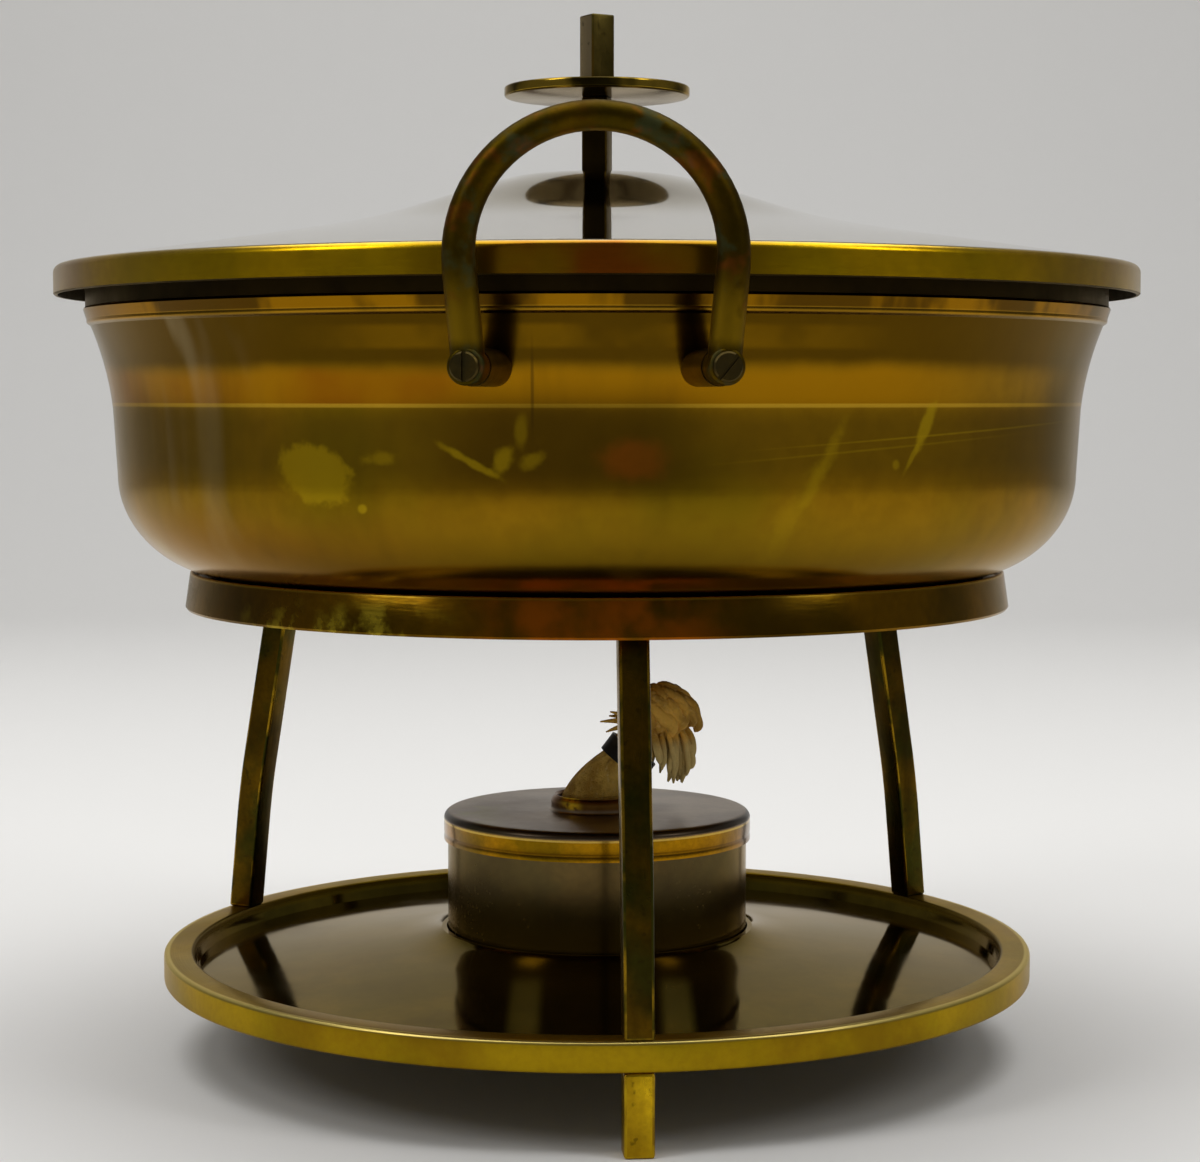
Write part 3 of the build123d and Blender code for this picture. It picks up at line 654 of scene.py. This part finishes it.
lock_data = bpy.data.curves.new("tuft_locks", "CURVE")
lock_data.dimensions = "3D"
lock_data.bevel_depth = 1.0
lock_data.bevel_resolution = 2
lock_data.use_fill_caps = True
lock_data.resolution_u = 5


def add_lock(points, sizes, thickness, loose):
    """One lock of cotton: a tapering tube along a smooth line that wanders by up to loose."""
    spline = lock_data.splines.new("NURBS")
    spline.points.add(len(points) - 1)
    for spot, place, size in zip(spline.points, points, sizes):
        jitter = Vector((dice.uniform(-1, 1), dice.uniform(-1, 1), dice.uniform(-1, 1))) * loose
        spot.co = (*(place + jitter), 1)
        spot.radius = thickness * size
    spline.order_u = 4
    spline.use_endpoint_u = True


def crown_place(turn, lift, share=1.0):
    """A point on the crown, narrower to the left, at a compass turn and a lift, both in radians."""
    out = Vector((math.cos(turn), math.sin(turn), 0))
    reach = Vector((out.x * crown_reach.x * (1.0 if out.x > 0 else left_reach), out.y * crown_reach.y, 0))
    return crown_centre + (reach * math.cos(lift) + Vector((0, 0, crown_reach.z * math.sin(lift)))) * share


for index in range(arched_locks):
    turn = index * golden_turn
    top_lift = math.radians(arch_lift - arch_spread * math.sqrt((index + 0.5) / arched_locks))
    swirl = dice.uniform(-0.2, 0.9)
    points = [crown_place(turn, top_lift, 0.5)]
    for step in range(4):
        share = dice.uniform(0.93, 1.05)
        points.append(crown_place(turn + swirl * step / 3, top_lift - step * arch_step, share))
    tail = points[-1] - Vector((0, 0, dice.uniform(0.5, 2.0) * mm))
    points.append(tail.lerp(Vector((crown_centre.x, crown_centre.y, tail.z)), dice.uniform(0.1, 0.4)))
    add_lock(points, (0.8, 1.0, 1.0, 1.05, 0.9, 0.5), dice.uniform(1.1, 2.3) * mm, 0.7 * mm)

for index in range(hanging_locks):
    turn = index * golden_turn + 1.1
    inset = dice.uniform(0.5, 0.96)
    start = crown_place(turn, 0.0, inset)
    across = start.x / mm
    if across < hang_start:
        continue
    hang = min(max((across - hang_start) / hang_width, hang_least), 1.0)
    hang *= 1 - hang_fade * max(across - hang_fade_start, 0) / hang_fade_width
    drop = longest_hang * hang * dice.uniform(0.76, 1.04)
    foot = crown_place(turn + dice.uniform(-0.25, 0.25), 0.0, inset * dice.uniform(0.9, 1.15))
    points = [crown_place(turn, 0.35, inset * 0.6), start.lerp(crown_centre, 0.1)]
    points.append(start.lerp(foot, 0.5) - Vector((0, 0, drop * 0.5)))
    points.append(foot - Vector((0, 0, drop * 0.85)))
    points.append(foot.lerp(crown_centre, 0.06) - Vector((0, 0, drop)))
    add_lock(points, (0.7, 0.8, 1.3, 1.15, 0.3), dice.uniform(0.65, 1.0) * mm, 0.45 * mm)

for tip in wisp_tips:
    tip = Vector(tip) * mm
    root = crown_place(math.pi, 0.3, 0.4) + Vector((0, tip.y, 0))
    middle = root.lerp(tip, 0.55) + Vector((0, 0, 0.8 * mm))
    add_lock([root, root.lerp(middle, 0.5), middle, tip], (1.4, 1.3, 1.0, 0.2), 0.85 * mm, 0.2 * mm)
lock_curve = bpy.data.objects.new("tuft_locks_curve", lock_data)
bpy.context.scene.collection.objects.link(lock_curve)
bpy.context.view_layer.update()
tuft_data = bpy.data.meshes.new_from_object(lock_curve.evaluated_get(bpy.context.evaluated_depsgraph_get()))
bpy.data.objects.remove(lock_curve)
tuft_mesh = bmesh.new()
tuft_mesh.from_mesh(tuft_data)
core = bmesh.ops.create_icosphere(tuft_mesh, subdivisions=4, radius=1.0)["verts"]
bmesh.ops.scale(tuft_mesh, verts=core, vec=core_reach)
bmesh.ops.translate(tuft_mesh, verts=core, vec=crown_centre + core_shift)
frayed = Finish("wick_fray", roughness=0.95, metallic=0.0)
hair = frayed.noise(700, 3, 0.7)
cloud = frayed.noise(180, 3, 0.6)
fray_colour = frayed.mix(cloud.rise(0.35, 0.65), (0.76, 0.43, 0.065), (0.42, 0.23, 0.030))
hanging = frayed.axes()[2].rise(81 * mm, 77 * mm)
fray_colour = frayed.mix(hanging * 0.7, fray_colour, (0.66, 0.53, 0.22))
frayed.set(
    Base_Color=frayed.mix(hair.rise(0.55, 0.7) * 0.35, fray_colour, (0.80, 0.58, 0.22)),
    Normal=frayed.bump(hair + cloud, 0.0005, 0.8),
)
add_piece("wick_frayed_head", tuft_mesh, [frayed.material], "burner_cap", ["wick_tuft"], 60)

# The pan: spun sheet with a thick flared collar, a wall that draws in to a shoulder, a plain lower
# wall and a round turn to the flat base. Polished once, now olive and gold with splashes and runs.
pan_base = 122.9 * mm
pan_base_radius = 93.0 * mm
corner_reach = 29.4 * mm
corner_rise = 26.1 * mm
shoulder = Vector((123.5, 166.4)) * mm
upper_end = Vector((128.6, 186.0)) * mm
upper_hollow = 0.7 * mm
collar_foot = Vector((129.5, 186.9)) * mm
pan_rim = Vector((130.4, 190.6)) * mm
rim_land = 2.9 * mm
rim_round = 0.7 * mm
rim_chamfer = 0.4 * mm
pan_sheet = 1.1 * mm
wide_turn_steps = 256


def pan_line(inset):
    """Points of the pan's wall from the axis up to the collar, an inset inside the outer face."""
    points = [(0, pan_base + inset)]
    reach = (corner_reach - inset, corner_rise - inset)
    points += arc((pan_base_radius, pan_base + corner_rise), reach, -90, 0, 28)
    points += [(shoulder.x - inset - 0.15 * mm, shoulder.y - 1.2 * mm)]
    middle = (shoulder + upper_end) / 2 - Vector((2 * upper_hollow, 0))
    inward = Vector((inset, 0))
    points += curve([shoulder - inward + Vector((0, 0.1 * mm)), middle - inward, upper_end - inward], 14)
    return points


collar_flare = [collar_foot + Vector(step) * mm for step in ((-0.5, -0.6), (0.3, -0.3), (0.1, 0.6))]
pan_outline = pan_line(0) + curve(collar_flare, 5)
pan_outline += arc((pan_rim.x - rim_round, pan_rim.y - rim_round), (rim_round, rim_round), 5, 90, 5)
pan_outline += [(pan_rim.x - rim_land + rim_chamfer, pan_rim.y)]
pan_outline += [(pan_rim.x - rim_land, pan_rim.y - rim_chamfer)]
pan_outline += list(reversed(pan_line(pan_sheet)))

pan_finish = Finish("pan_brass", roughness=0.2, **brown_edge)
x, y, z = pan_finish.axes()
on_collar = z.rise(collar_foot.y - 0.7 * mm, collar_foot.y + 0.1 * mm)
over_shoulder = z.rise(shoulder.y, shoulder.y + 0.6 * mm) * (1 - on_collar)
pan_colour, pan_patches, pan_clouds = brass_tones(
    pan_finish, (0.24, 0.125, 0.004), (0.155, 0.098, 0.003), (0.085, 0.036, 0.002), 13, 40
)
glow_edge = pan_finish.noise(30, 3) * 6 * mm
orange = (z + glow_edge).rise(180 * mm, 175.5 * mm) * over_shoulder * x.rise(100 * mm, 60 * mm)
orange_tone = pan_finish.mix(pan_patches, (0.30, 0.135, 0.002), (0.22, 0.060, 0.002))
pan_colour = pan_finish.mix(orange * 0.85, pan_colour, orange_tone)
shade_top = z.rise(172 * mm, 177 * mm) * over_shoulder * (1 - orange)
pan_colour = pan_finish.mix(shade_top * 0.85, pan_colour, (0.052, 0.026, 0.001))
middle_gold = z.band(181.3 * mm, 1.8 * mm, 1.4 * mm) * abs(x).rise(70 * mm, 40 * mm)
middle_gold = middle_gold * pan_finish.noise(45, 3).rise(0.38, 0.6)
pan_colour = pan_finish.mix(middle_gold * 0.6, pan_colour, (0.17, 0.085, 0.002))
collar_wear = pan_finish.noise(38, 4, 0.6, stretch=(1, 1, 0.3), shift=(5, 2, 0)).rise(0.56, 0.44)
collar_tone = pan_finish.mix(collar_wear, (0.26, 0.115, 0.002), (0.055, 0.024, 0.002))
pan_colour = pan_finish.mix(on_collar * 0.85, pan_colour, collar_tone)
collar_lip = z.band(collar_foot.y + 0.2 * mm, 0.35 * mm, 0.4 * mm)
pan_colour = pan_finish.mix(collar_lip * 0.3, pan_colour, (0.55, 0.30, 0.02))
shoulder_line = z.band(shoulder.y + 0.1 * mm, 0.25 * mm, 0.35 * mm)
pan_colour = pan_finish.mix(shoulder_line * 0.5, pan_colour, (0.70, 0.42, 0.03))
under_shoulder = z.band(158 * mm, 4 * mm, 7 * mm)
pan_colour = pan_finish.mix(under_shoulder * 0.55, pan_colour, (0.07, 0.042, 0.003))
tan_foot = (z + glow_edge).rise(150 * mm, 136 * mm)
pan_colour = pan_finish.mix(tan_foot * 0.5, pan_colour, (0.22, 0.125, 0.006))
pan_colour = pan_finish.mix(tan_foot * x.rise(-15 * mm, -80 * mm) * 0.5, pan_colour, (0.19, 0.065, 0.004))
on_front = y.rise(0, -20 * mm)
dark_middle = x.band(-6 * mm, 14 * mm, 26 * mm) * z.band(158 * mm, 6 * mm, 9 * mm) * on_front
pan_colour = pan_finish.mix(dark_middle * 0.6, pan_colour, (0.030, 0.014, 0.001))


def front_spot(across, height, half_width, half_height, soft, wobble=0.0, lean=0.0):
    """A soft oval on the pan's front wall at a place across and up it, with an uneven edge."""
    left = (x - across - (z - height) * lean) / half_width
    up = (z - height) / half_height
    reach = (left * left + up * up).math("POWER", 0.5)
    if wobble:
        reach = reach + (pan_finish.noise(260, 4, 0.6) - 0.5) * wobble
    return reach.rise(1 + soft, 1 - soft) * on_front


pale_olive = (0.38, 0.25, 0.006)
splashes = [
    (-62.0, 151.5, 8.0, 6.6, 0.16, 0.9, -0.35, 0.48),
    (-51.0, 144.0, 1.0, 1.0, 0.4, 0.4, 0.0, 0.7),
    (-47.0, 155.0, 3.6, 1.3, 0.6, 2.4, 0.1, 0.32),
    (-27.0, 154.5, 1.6, 3.6, 0.5, 1.4, -1.7, 0.5),
    (-20.0, 154.5, 1.8, 2.6, 0.6, 1.8, 0.3, 0.45),
    (-13.5, 155.0, 2.2, 1.6, 0.6, 2.2, 0.5, 0.35),
    (-16.0, 161.0, 1.2, 3.2, 0.6, 1.2, 0.0, 0.25),
    (49.0, 153.0, 1.2, 8.0, 0.8, 2.0, 0.5, 0.34),
    (42.0, 142.0, 2.4, 8.0, 0.9, 3.0, 0.6, 0.2),
    (73.0, 162.0, 1.3, 5.0, 0.4, 1.2, 0.35, 0.6),
    (70.0, 155.5, 0.6, 3.5, 0.5, 1.0, 0.5, 0.45),
    (66.0, 153.5, 0.8, 1.0, 0.5, 1.0, 0.0, 0.4),
    (84.0, 160.5, 3.0, 2.6, 0.7, 0.6, 14.0, 0.32),
    (62.0, 157.0, 2.6, 2.4, 0.7, 0.6, 12.0, 0.2),
]
for across, height, half_width, half_height, soft, wobble, lean, strength in splashes:
    spot = front_spot(across * mm, height * mm, half_width * mm, half_height * mm, soft, wobble, lean)
    pan_colour = pan_finish.mix(spot * strength, pan_colour, pale_olive)
red_spot = front_spot(8 * mm, 155 * mm, 6.5 * mm, 4 * mm, 0.5, 1.0)
pan_colour = pan_finish.mix(red_spot * 0.55, pan_colour, (0.20, 0.05, 0.004))
scratch = front_spot(-13.6 * mm, 170 * mm, 0.35 * mm, 9 * mm, 0.6, 0.3)
pan_colour = pan_finish.mix(scratch * 0.5, pan_colour, (0.03, 0.015, 0.003))
runs = pan_finish.noise(40, 4, 0.6, stretch=(1, 1, 0.12)).rise(0.5, 0.75)
pan_colour = pan_finish.mix(runs * 0.35, pan_colour, (0.06, 0.035, 0.003))
dark_flank = x.band(112 * mm, 2 * mm, 8 * mm) * z.band(160 * mm, 12 * mm, 18 * mm)
dark_flank = dark_flank * y.rise(-20 * mm, -44 * mm)
pan_colour = pan_finish.mix(dark_flank * 0.5 * (1 - on_collar), pan_colour, (0.050, 0.040, 0.012))
# Painted reflections: pale vertical streaks on the pan's left side.
painted_reflection_streaks = pan_finish.noise(60, 2, 0.5, stretch=(1, 1, 0.05)).rise(0.5, 0.65) * x.rise(-70 * mm, -105 * mm)
pan_colour = pan_finish.mix(painted_reflection_streaks * 0.3 * (1 - on_collar), pan_colour, (0.34, 0.28, 0.16))
pan_finish.set(
    Base_Color=pan_colour,
    Roughness=pan_clouds * 0.10 + pan_patches * 0.05 + 0.16,
    Normal=pan_finish.bump(pan_finish.noise(90, 3) + pan_finish.noise(12, 2) * 8, 0.00006, 0.5),
)
pan_mesh = turned(pan_outline, wide_turn_steps)
add_piece("pan_spun", pan_mesh, [pan_finish.material], "pan", ["pan"], 18)

# The handles: a round brass bar bent to a bow, thicker towards its ends, which finish in round eyes for
# the screws. Dull and dark, with verdigris in patches. The rear one repeats the front one.
bow_radius = 28.0 * mm
bow_plane = 146.0 * mm
bow_height = 197.3 * mm
bow_drop = 22.8 * mm
half_span = 26.0 * mm
thin_radius = 3.15 * mm
thick_radius = 3.55 * mm
bow_steps = 40
bow_sides = 32
eye_radius = 3.85 * mm
eye_depth = 7.2 * mm
eye_bevel = 0.7 * mm

handle_finish = Finish("handle_brass", roughness=0.42, **brown_edge)
z = handle_finish.axes()[2]
handle_colour, handle_patches, handle_clouds = brass_tones(
    handle_finish, (0.080, 0.044, 0.001), (0.046, 0.030, 0.001), (0.020, 0.010, 0.001), 60, 55
)
rubbed_ends = z.rise(196 * mm, 184 * mm) * z.rise(177.5 * mm, 180.5 * mm) * handle_patches.rise(0, 0.6)
handle_colour = handle_finish.mix(rubbed_ends * 0.55, handle_colour, (0.34, 0.20, 0.008))
verdigris = handle_finish.noise(130, 4, 0.6, shift=(2, 9, 4)).rise(0.54, 0.70)
handle_colour = handle_finish.mix(verdigris * 0.5, handle_colour, (0.018, 0.040, 0.014))
rust = handle_finish.noise(95, 3, 0.6, shift=(11, 3, 1)).rise(0.52, 0.66)
handle_finish.set(
    Base_Color=handle_finish.mix(rust * 0.6, handle_colour, (0.15, 0.038, 0.006)),
    Roughness=handle_clouds * 0.15 + verdigris * 0.2 + 0.42,
    Metallic=1 - verdigris * 0.25,
    Normal=handle_finish.bump(handle_finish.noise(320, 3) + handle_finish.noise(90, 2) * 2, 0.00015, 0.6),
)
end_reach = math.hypot(half_span, bow_drop)
bow_start = math.acos(bow_radius / end_reach) - math.atan2(bow_drop, half_span)
for side_name, facing in (("front", -1), ("rear", 1)):
    centre = Vector((0, facing * bow_plane, bow_height))
    bow = []
    for step in range(bow_steps + 1):
        angle = bow_start + (math.pi - 2 * bow_start) * step / bow_steps
        bow.append((centre + Vector((math.cos(angle), 0, math.sin(angle))) * bow_radius, angle + math.pi / 2))
    bow.insert(0, (centre + Vector((half_span, 0, -bow_drop)), bow[0][1]))
    bow.append((centre + Vector((-half_span, 0, -bow_drop)), bow[-1][1]))
    stations = []
    for index, (place, angle) in enumerate(bow):
        share = abs(2 * index / (len(bow) - 1) - 1)
        size = thin_radius + (thick_radius - thin_radius) * share ** 2
        stations.append((place, (math.cos(angle), 0, math.sin(angle)), (0, 1, 0), size))
    handle_mesh = bmesh.new()
    drawn_bar(handle_mesh, stations, bow_sides)
    bmesh.ops.recalc_face_normals(handle_mesh, faces=handle_mesh.faces)
    for across in (-half_span, half_span):
        turn = math.atan2(facing * bow_plane, across)
        distance = math.hypot(across, bow_plane)
        eye_turn = Matrix.Rotation(turn, 4, "Z") @ Matrix.Translation((distance, 0, bow_height - bow_drop))
        eye_turn = eye_turn @ Matrix.Rotation(math.pi / 2, 4, "Y")
        eye = bmesh.ops.create_cone(
            handle_mesh, cap_ends=True, segments=40, radius1=eye_radius, radius2=eye_radius, depth=eye_depth,
            matrix=eye_turn
        )["verts"]
        eye_edges = [e for e in {e for v in eye for e in v.link_edges} if e.calc_face_angle(0) > 1]
        bmesh.ops.bevel(
            handle_mesh, geom=eye_edges, offset=eye_bevel, segments=3, profile=0.5, affect="EDGES", material=-1
        )
    name = side_name + "_handle"
    add_piece(name + "_bow", handle_mesh, [handle_finish.material], "pan", [name], 40)

# Screws, nuts, standoffs and the hidden hardware keep their plain shapes and get a dull brown brass.
# The wick's tail, hidden in the fuel, is the same cotton as its neck.
fitting_finish = Finish("fitting_brass", roughness=0.4, **brown_edge)
fitting_colour, _, fitting_clouds = brass_tones(
    fitting_finish, (0.075, 0.050, 0.012), (0.045, 0.036, 0.012), (0.020, 0.015, 0.007), 90, 70
)
fitting_finish.set(
    Base_Color=fitting_colour,
    Roughness=fitting_clouds * 0.15 + 0.3,
    Normal=fitting_finish.bump(fitting_finish.noise(500, 3), 0.0001, 0.5),
)
fittings = ["leg_tie_studs", "leg_screws", "knob_stud", "knob_washer", "knob_nut"]
for side_name in ("front", "rear"):
    fittings += [side_name + "_handle_" + kind for kind in ("standoffs", "nuts", "screws")]


def dress(node_name, finish):
    """Gives a part that keeps its plain shape its finish."""
    for material_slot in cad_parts[node_name].material_slots:
        material_slot.material = finish.material


for name in fittings:
    dress(name, fitting_finish)
dress("wick_tail", cotton)

# The lid: spun sheet, a shallow bell polished like a mirror, with a satin band turned down at its edge
# and a locating ring soldered inside. The crown is clear lacquered, so it shines white at a low angle.
lid_radius = 137.6 * mm
lid_band_bottom = 193.6 * mm
lid_rim = 201.0 * mm
lid_edge = 2.0 * mm
lid_sheet = 1.0 * mm
lid_hem = 0.3 * mm
lid_steps = 110
crown_flat = 10.0
crown_ramp = 16
rim_slope = 0.153
bell_slope = 0.177
bell_middle = 42.0
bell_reach = 22.0


def lid_line(drop):
    """Points of the lid's top from the axis to its rounded edge, a drop below the outer face."""
    edge_place = (lid_radius - lid_edge) / mm
    height = lid_rim / mm
    points = []
    for step in range(lid_steps, -1, -1):
        radius = edge_place * step / lid_steps
        points.append((radius * mm, height * mm - drop))
        share = min(max((radius - edge_place / lid_steps / 2 - crown_flat) / crown_ramp, 0), 1)
        bell = math.exp(-(((radius - bell_middle) / bell_reach) ** 2))
        height += edge_place / lid_steps * share * share * (3 - 2 * share) * (rim_slope + bell_slope * bell)
    points.reverse()
    points += arc((lid_radius - lid_edge, lid_rim - lid_edge), (lid_edge - drop, lid_edge - drop), 82, 0, 8)
    return points


lid_top = lid_line(0)[0][1]
lid_outline = lid_line(0) + [(lid_radius, lid_band_bottom + lid_hem), (lid_radius - lid_hem, lid_band_bottom)]
lid_outline += [(lid_radius - lid_sheet, lid_band_bottom)] + list(reversed(lid_line(lid_sheet)))

lid_finish = Finish("lid_brass", roughness=0.1)
x, y, z = lid_finish.axes()
radius = (x * x + y * y).math("POWER", 0.5)
on_band = radius.rise(lid_radius - 1.6 * mm, lid_radius - 0.6 * mm)
crown_colour, _, crown_clouds = brass_tones(
    lid_finish, (0.54, 0.44, 0.20), (0.46, 0.37, 0.16), (0.32, 0.23, 0.09), 16, 80
)
# A painted reflection: the crown is darkened towards the right.
crown_colour = lid_finish.mix(x.rise(-5 * mm, 70 * mm) * 0.75, crown_colour, (0.34, 0.27, 0.11))
band_colour = brass_tones(lid_finish, (0.62, 0.37, 0.004), (0.45, 0.29, 0.003), (0.22, 0.10, 0.002), 24, 85)[0]
on_front = y.rise(0, -20 * mm)
band_middle = x.band(0, 30 * mm, 16 * mm) * on_front
band_colour = lid_finish.mix(band_middle * 0.6, band_colour, (0.16, 0.075, 0.002))
band_red = lid_finish.noise(60, 3).rise(0.25, 0.65) * x.band(0, 8 * mm, 20 * mm) * on_front
band_colour = lid_finish.mix(band_red * 0.75, band_colour, (0.24, 0.032, 0.003))
# A painted highlight: a pale yellow line along the band's top edge.
band_edge_painted_highlight = z.rise(lid_rim - 1.2 * mm, lid_rim - 0.3 * mm)
band_colour = lid_finish.mix(band_edge_painted_highlight * 0.2, band_colour, (0.60, 0.44, 0.08))
spun_lines = lid_finish.noise(200, 3, stretch=(1, 1, 5)) * on_band
lid_finish.set(
    Base_Color=lid_finish.mix(on_band, crown_colour, band_colour),
    Roughness=on_band * 0.2 + crown_clouds * 0.04 + 0.05,
    Coat_Weight=(1 - on_band) * (1 - abs(x).rise(40 * mm, 110 * mm) * 0.7),
    Normal=lid_finish.bump(spun_lines + lid_finish.noise(14, 2) * 6, 0.00005, 0.4),
)
lid_finish.shader.inputs["Coat Roughness"].default_value = 0.05
# The lid's inside and its locating ring are painted near black, darker in cloudy patches: partly dark tarnish,
# partly painted shade under the lid.
lid_inside = Finish("lid_inside", roughness=0.5, **brown_edge)
inside_clouds = lid_inside.noise(30, 4, 0.6).rise(0.4, 0.7)
lid_inside.set(
    Base_Color=lid_inside.mix(inside_clouds, (0.030, 0.018, 0.004), (0.012, 0.008, 0.003)),
    Roughness=inside_clouds * 0.2 + 0.4,
)
lid_mesh = turned(lid_outline, wide_turn_steps)
for face in lid_mesh.faces:
    middle = face.calc_center_median()
    if face.normal.z < -0.1 or face.normal.dot(Vector((middle.x, middle.y, 0))) < 0:
        face.material_index = 1
add_piece("lid_spun", lid_mesh, [lid_finish.material, lid_inside.material], "lid", ["lid"])
dress("lid_locating_ring", lid_inside)

# The knob: two short lengths of square bar, turned to different angles, with a thin round finger disc
# held between them. The disc's rounded edge is rubbed bright in places. The lower bar is painted near
# black as painted shade under the disc, and the upper bar's left face is painted paler as a lit side.
post_width = 6.6 * mm
post_bevel = 0.45 * mm
disc_radius = 23.8 * mm
disc_bottom = 245.1 * mm
disc_top = 247.75 * mm
post_top = 265.95 * mm
disc_round = 0.6 * mm
lower_turn = -13.0
upper_turn = 30.5

disc_outline = [(0, disc_bottom), (disc_radius - disc_round, disc_bottom)]
disc_outline += arc((disc_radius - disc_round, disc_bottom + disc_round), (disc_round, disc_round), -90, 0, 5)
disc_outline += arc((disc_radius - disc_round, disc_top - disc_round), (disc_round, disc_round), 0, 90, 5)
disc_outline += [(0, disc_top)]
disc_finish = Finish("disc_brass", roughness=0.2, **brown_edge)
x, y, z = disc_finish.axes()
radius = (x * x + y * y).math("POWER", 0.5)
disc_colour, _, disc_clouds = brass_tones(
    disc_finish, (0.050, 0.036, 0.005), (0.032, 0.024, 0.004), (0.016, 0.010, 0.002), 60, 90
)
underside = z.rise(disc_bottom + 0.25 * mm, disc_bottom + 0.05 * mm)
underside = underside * radius.rise(disc_radius - 0.2 * mm, disc_radius - 0.6 * mm)
rubbed_rim = disc_finish.noise(70, 3, shift=(3, 8, 0)).rise(0.42, 0.62)
rubbed_rim = radius.rise(disc_radius - 0.5 * mm, disc_radius) * rubbed_rim
disc_colour = disc_finish.mix(rubbed_rim * 0.8, disc_colour, (0.42, 0.27, 0.03))
disc_finish.set(
    Base_Color=disc_finish.mix(underside, disc_colour, (0.15, 0.12, 0.07)),
    Roughness=disc_clouds * 0.08 + 0.14,
    Normal=disc_finish.bump(disc_finish.noise(260, 3), 0.00005, 0.4),
)
disc_mesh = turned(disc_outline, fine_turn_steps)
add_piece("finger_disc", disc_mesh, [disc_finish.material], "lid", ["knob_disc"])

# The lower post's tones are a painted-shade copy of the post brass, near black.
shaded_lower_tones = ((0.030, 0.018, 0.003), (0.018, 0.012, 0.003), (0.010, 0.006, 0.002))
upper_tones = ((0.15, 0.105, 0.022), (0.08, 0.060, 0.012), (0.03, 0.022, 0.005))
left_normal = Vector((-math.cos(math.radians(upper_turn)), -math.sin(math.radians(upper_turn)), 0))
for name, low, high, turn, tones, bright, painted_lit_side in (
    ("lower", lid_top, disc_bottom, lower_turn, shaded_lower_tones, (0.12, 0.07, 0.006), None),
    ("upper", disc_top, post_top, upper_turn, upper_tones, (0.16, 0.09, 0.01), left_normal),
):
    side = Vector((math.cos(math.radians(turn)), math.sin(math.radians(turn)), 0))
    mesh = square_bar([(Vector((0, 0, height)), (0, 0, 1), side) for height in (low, high)], post_bevel)
    bmesh.ops.scale(mesh, verts=mesh.verts, vec=(post_width / bar_width, post_width / bar_width, 1))
    finishes = bar_finishes(name + "_post_brass", *tones, turn + 100, bright, painted_lit_side)
    add_piece("knob_" + name + "_bar", mesh, finishes, "lid", ["knob_" + name + "_post"])
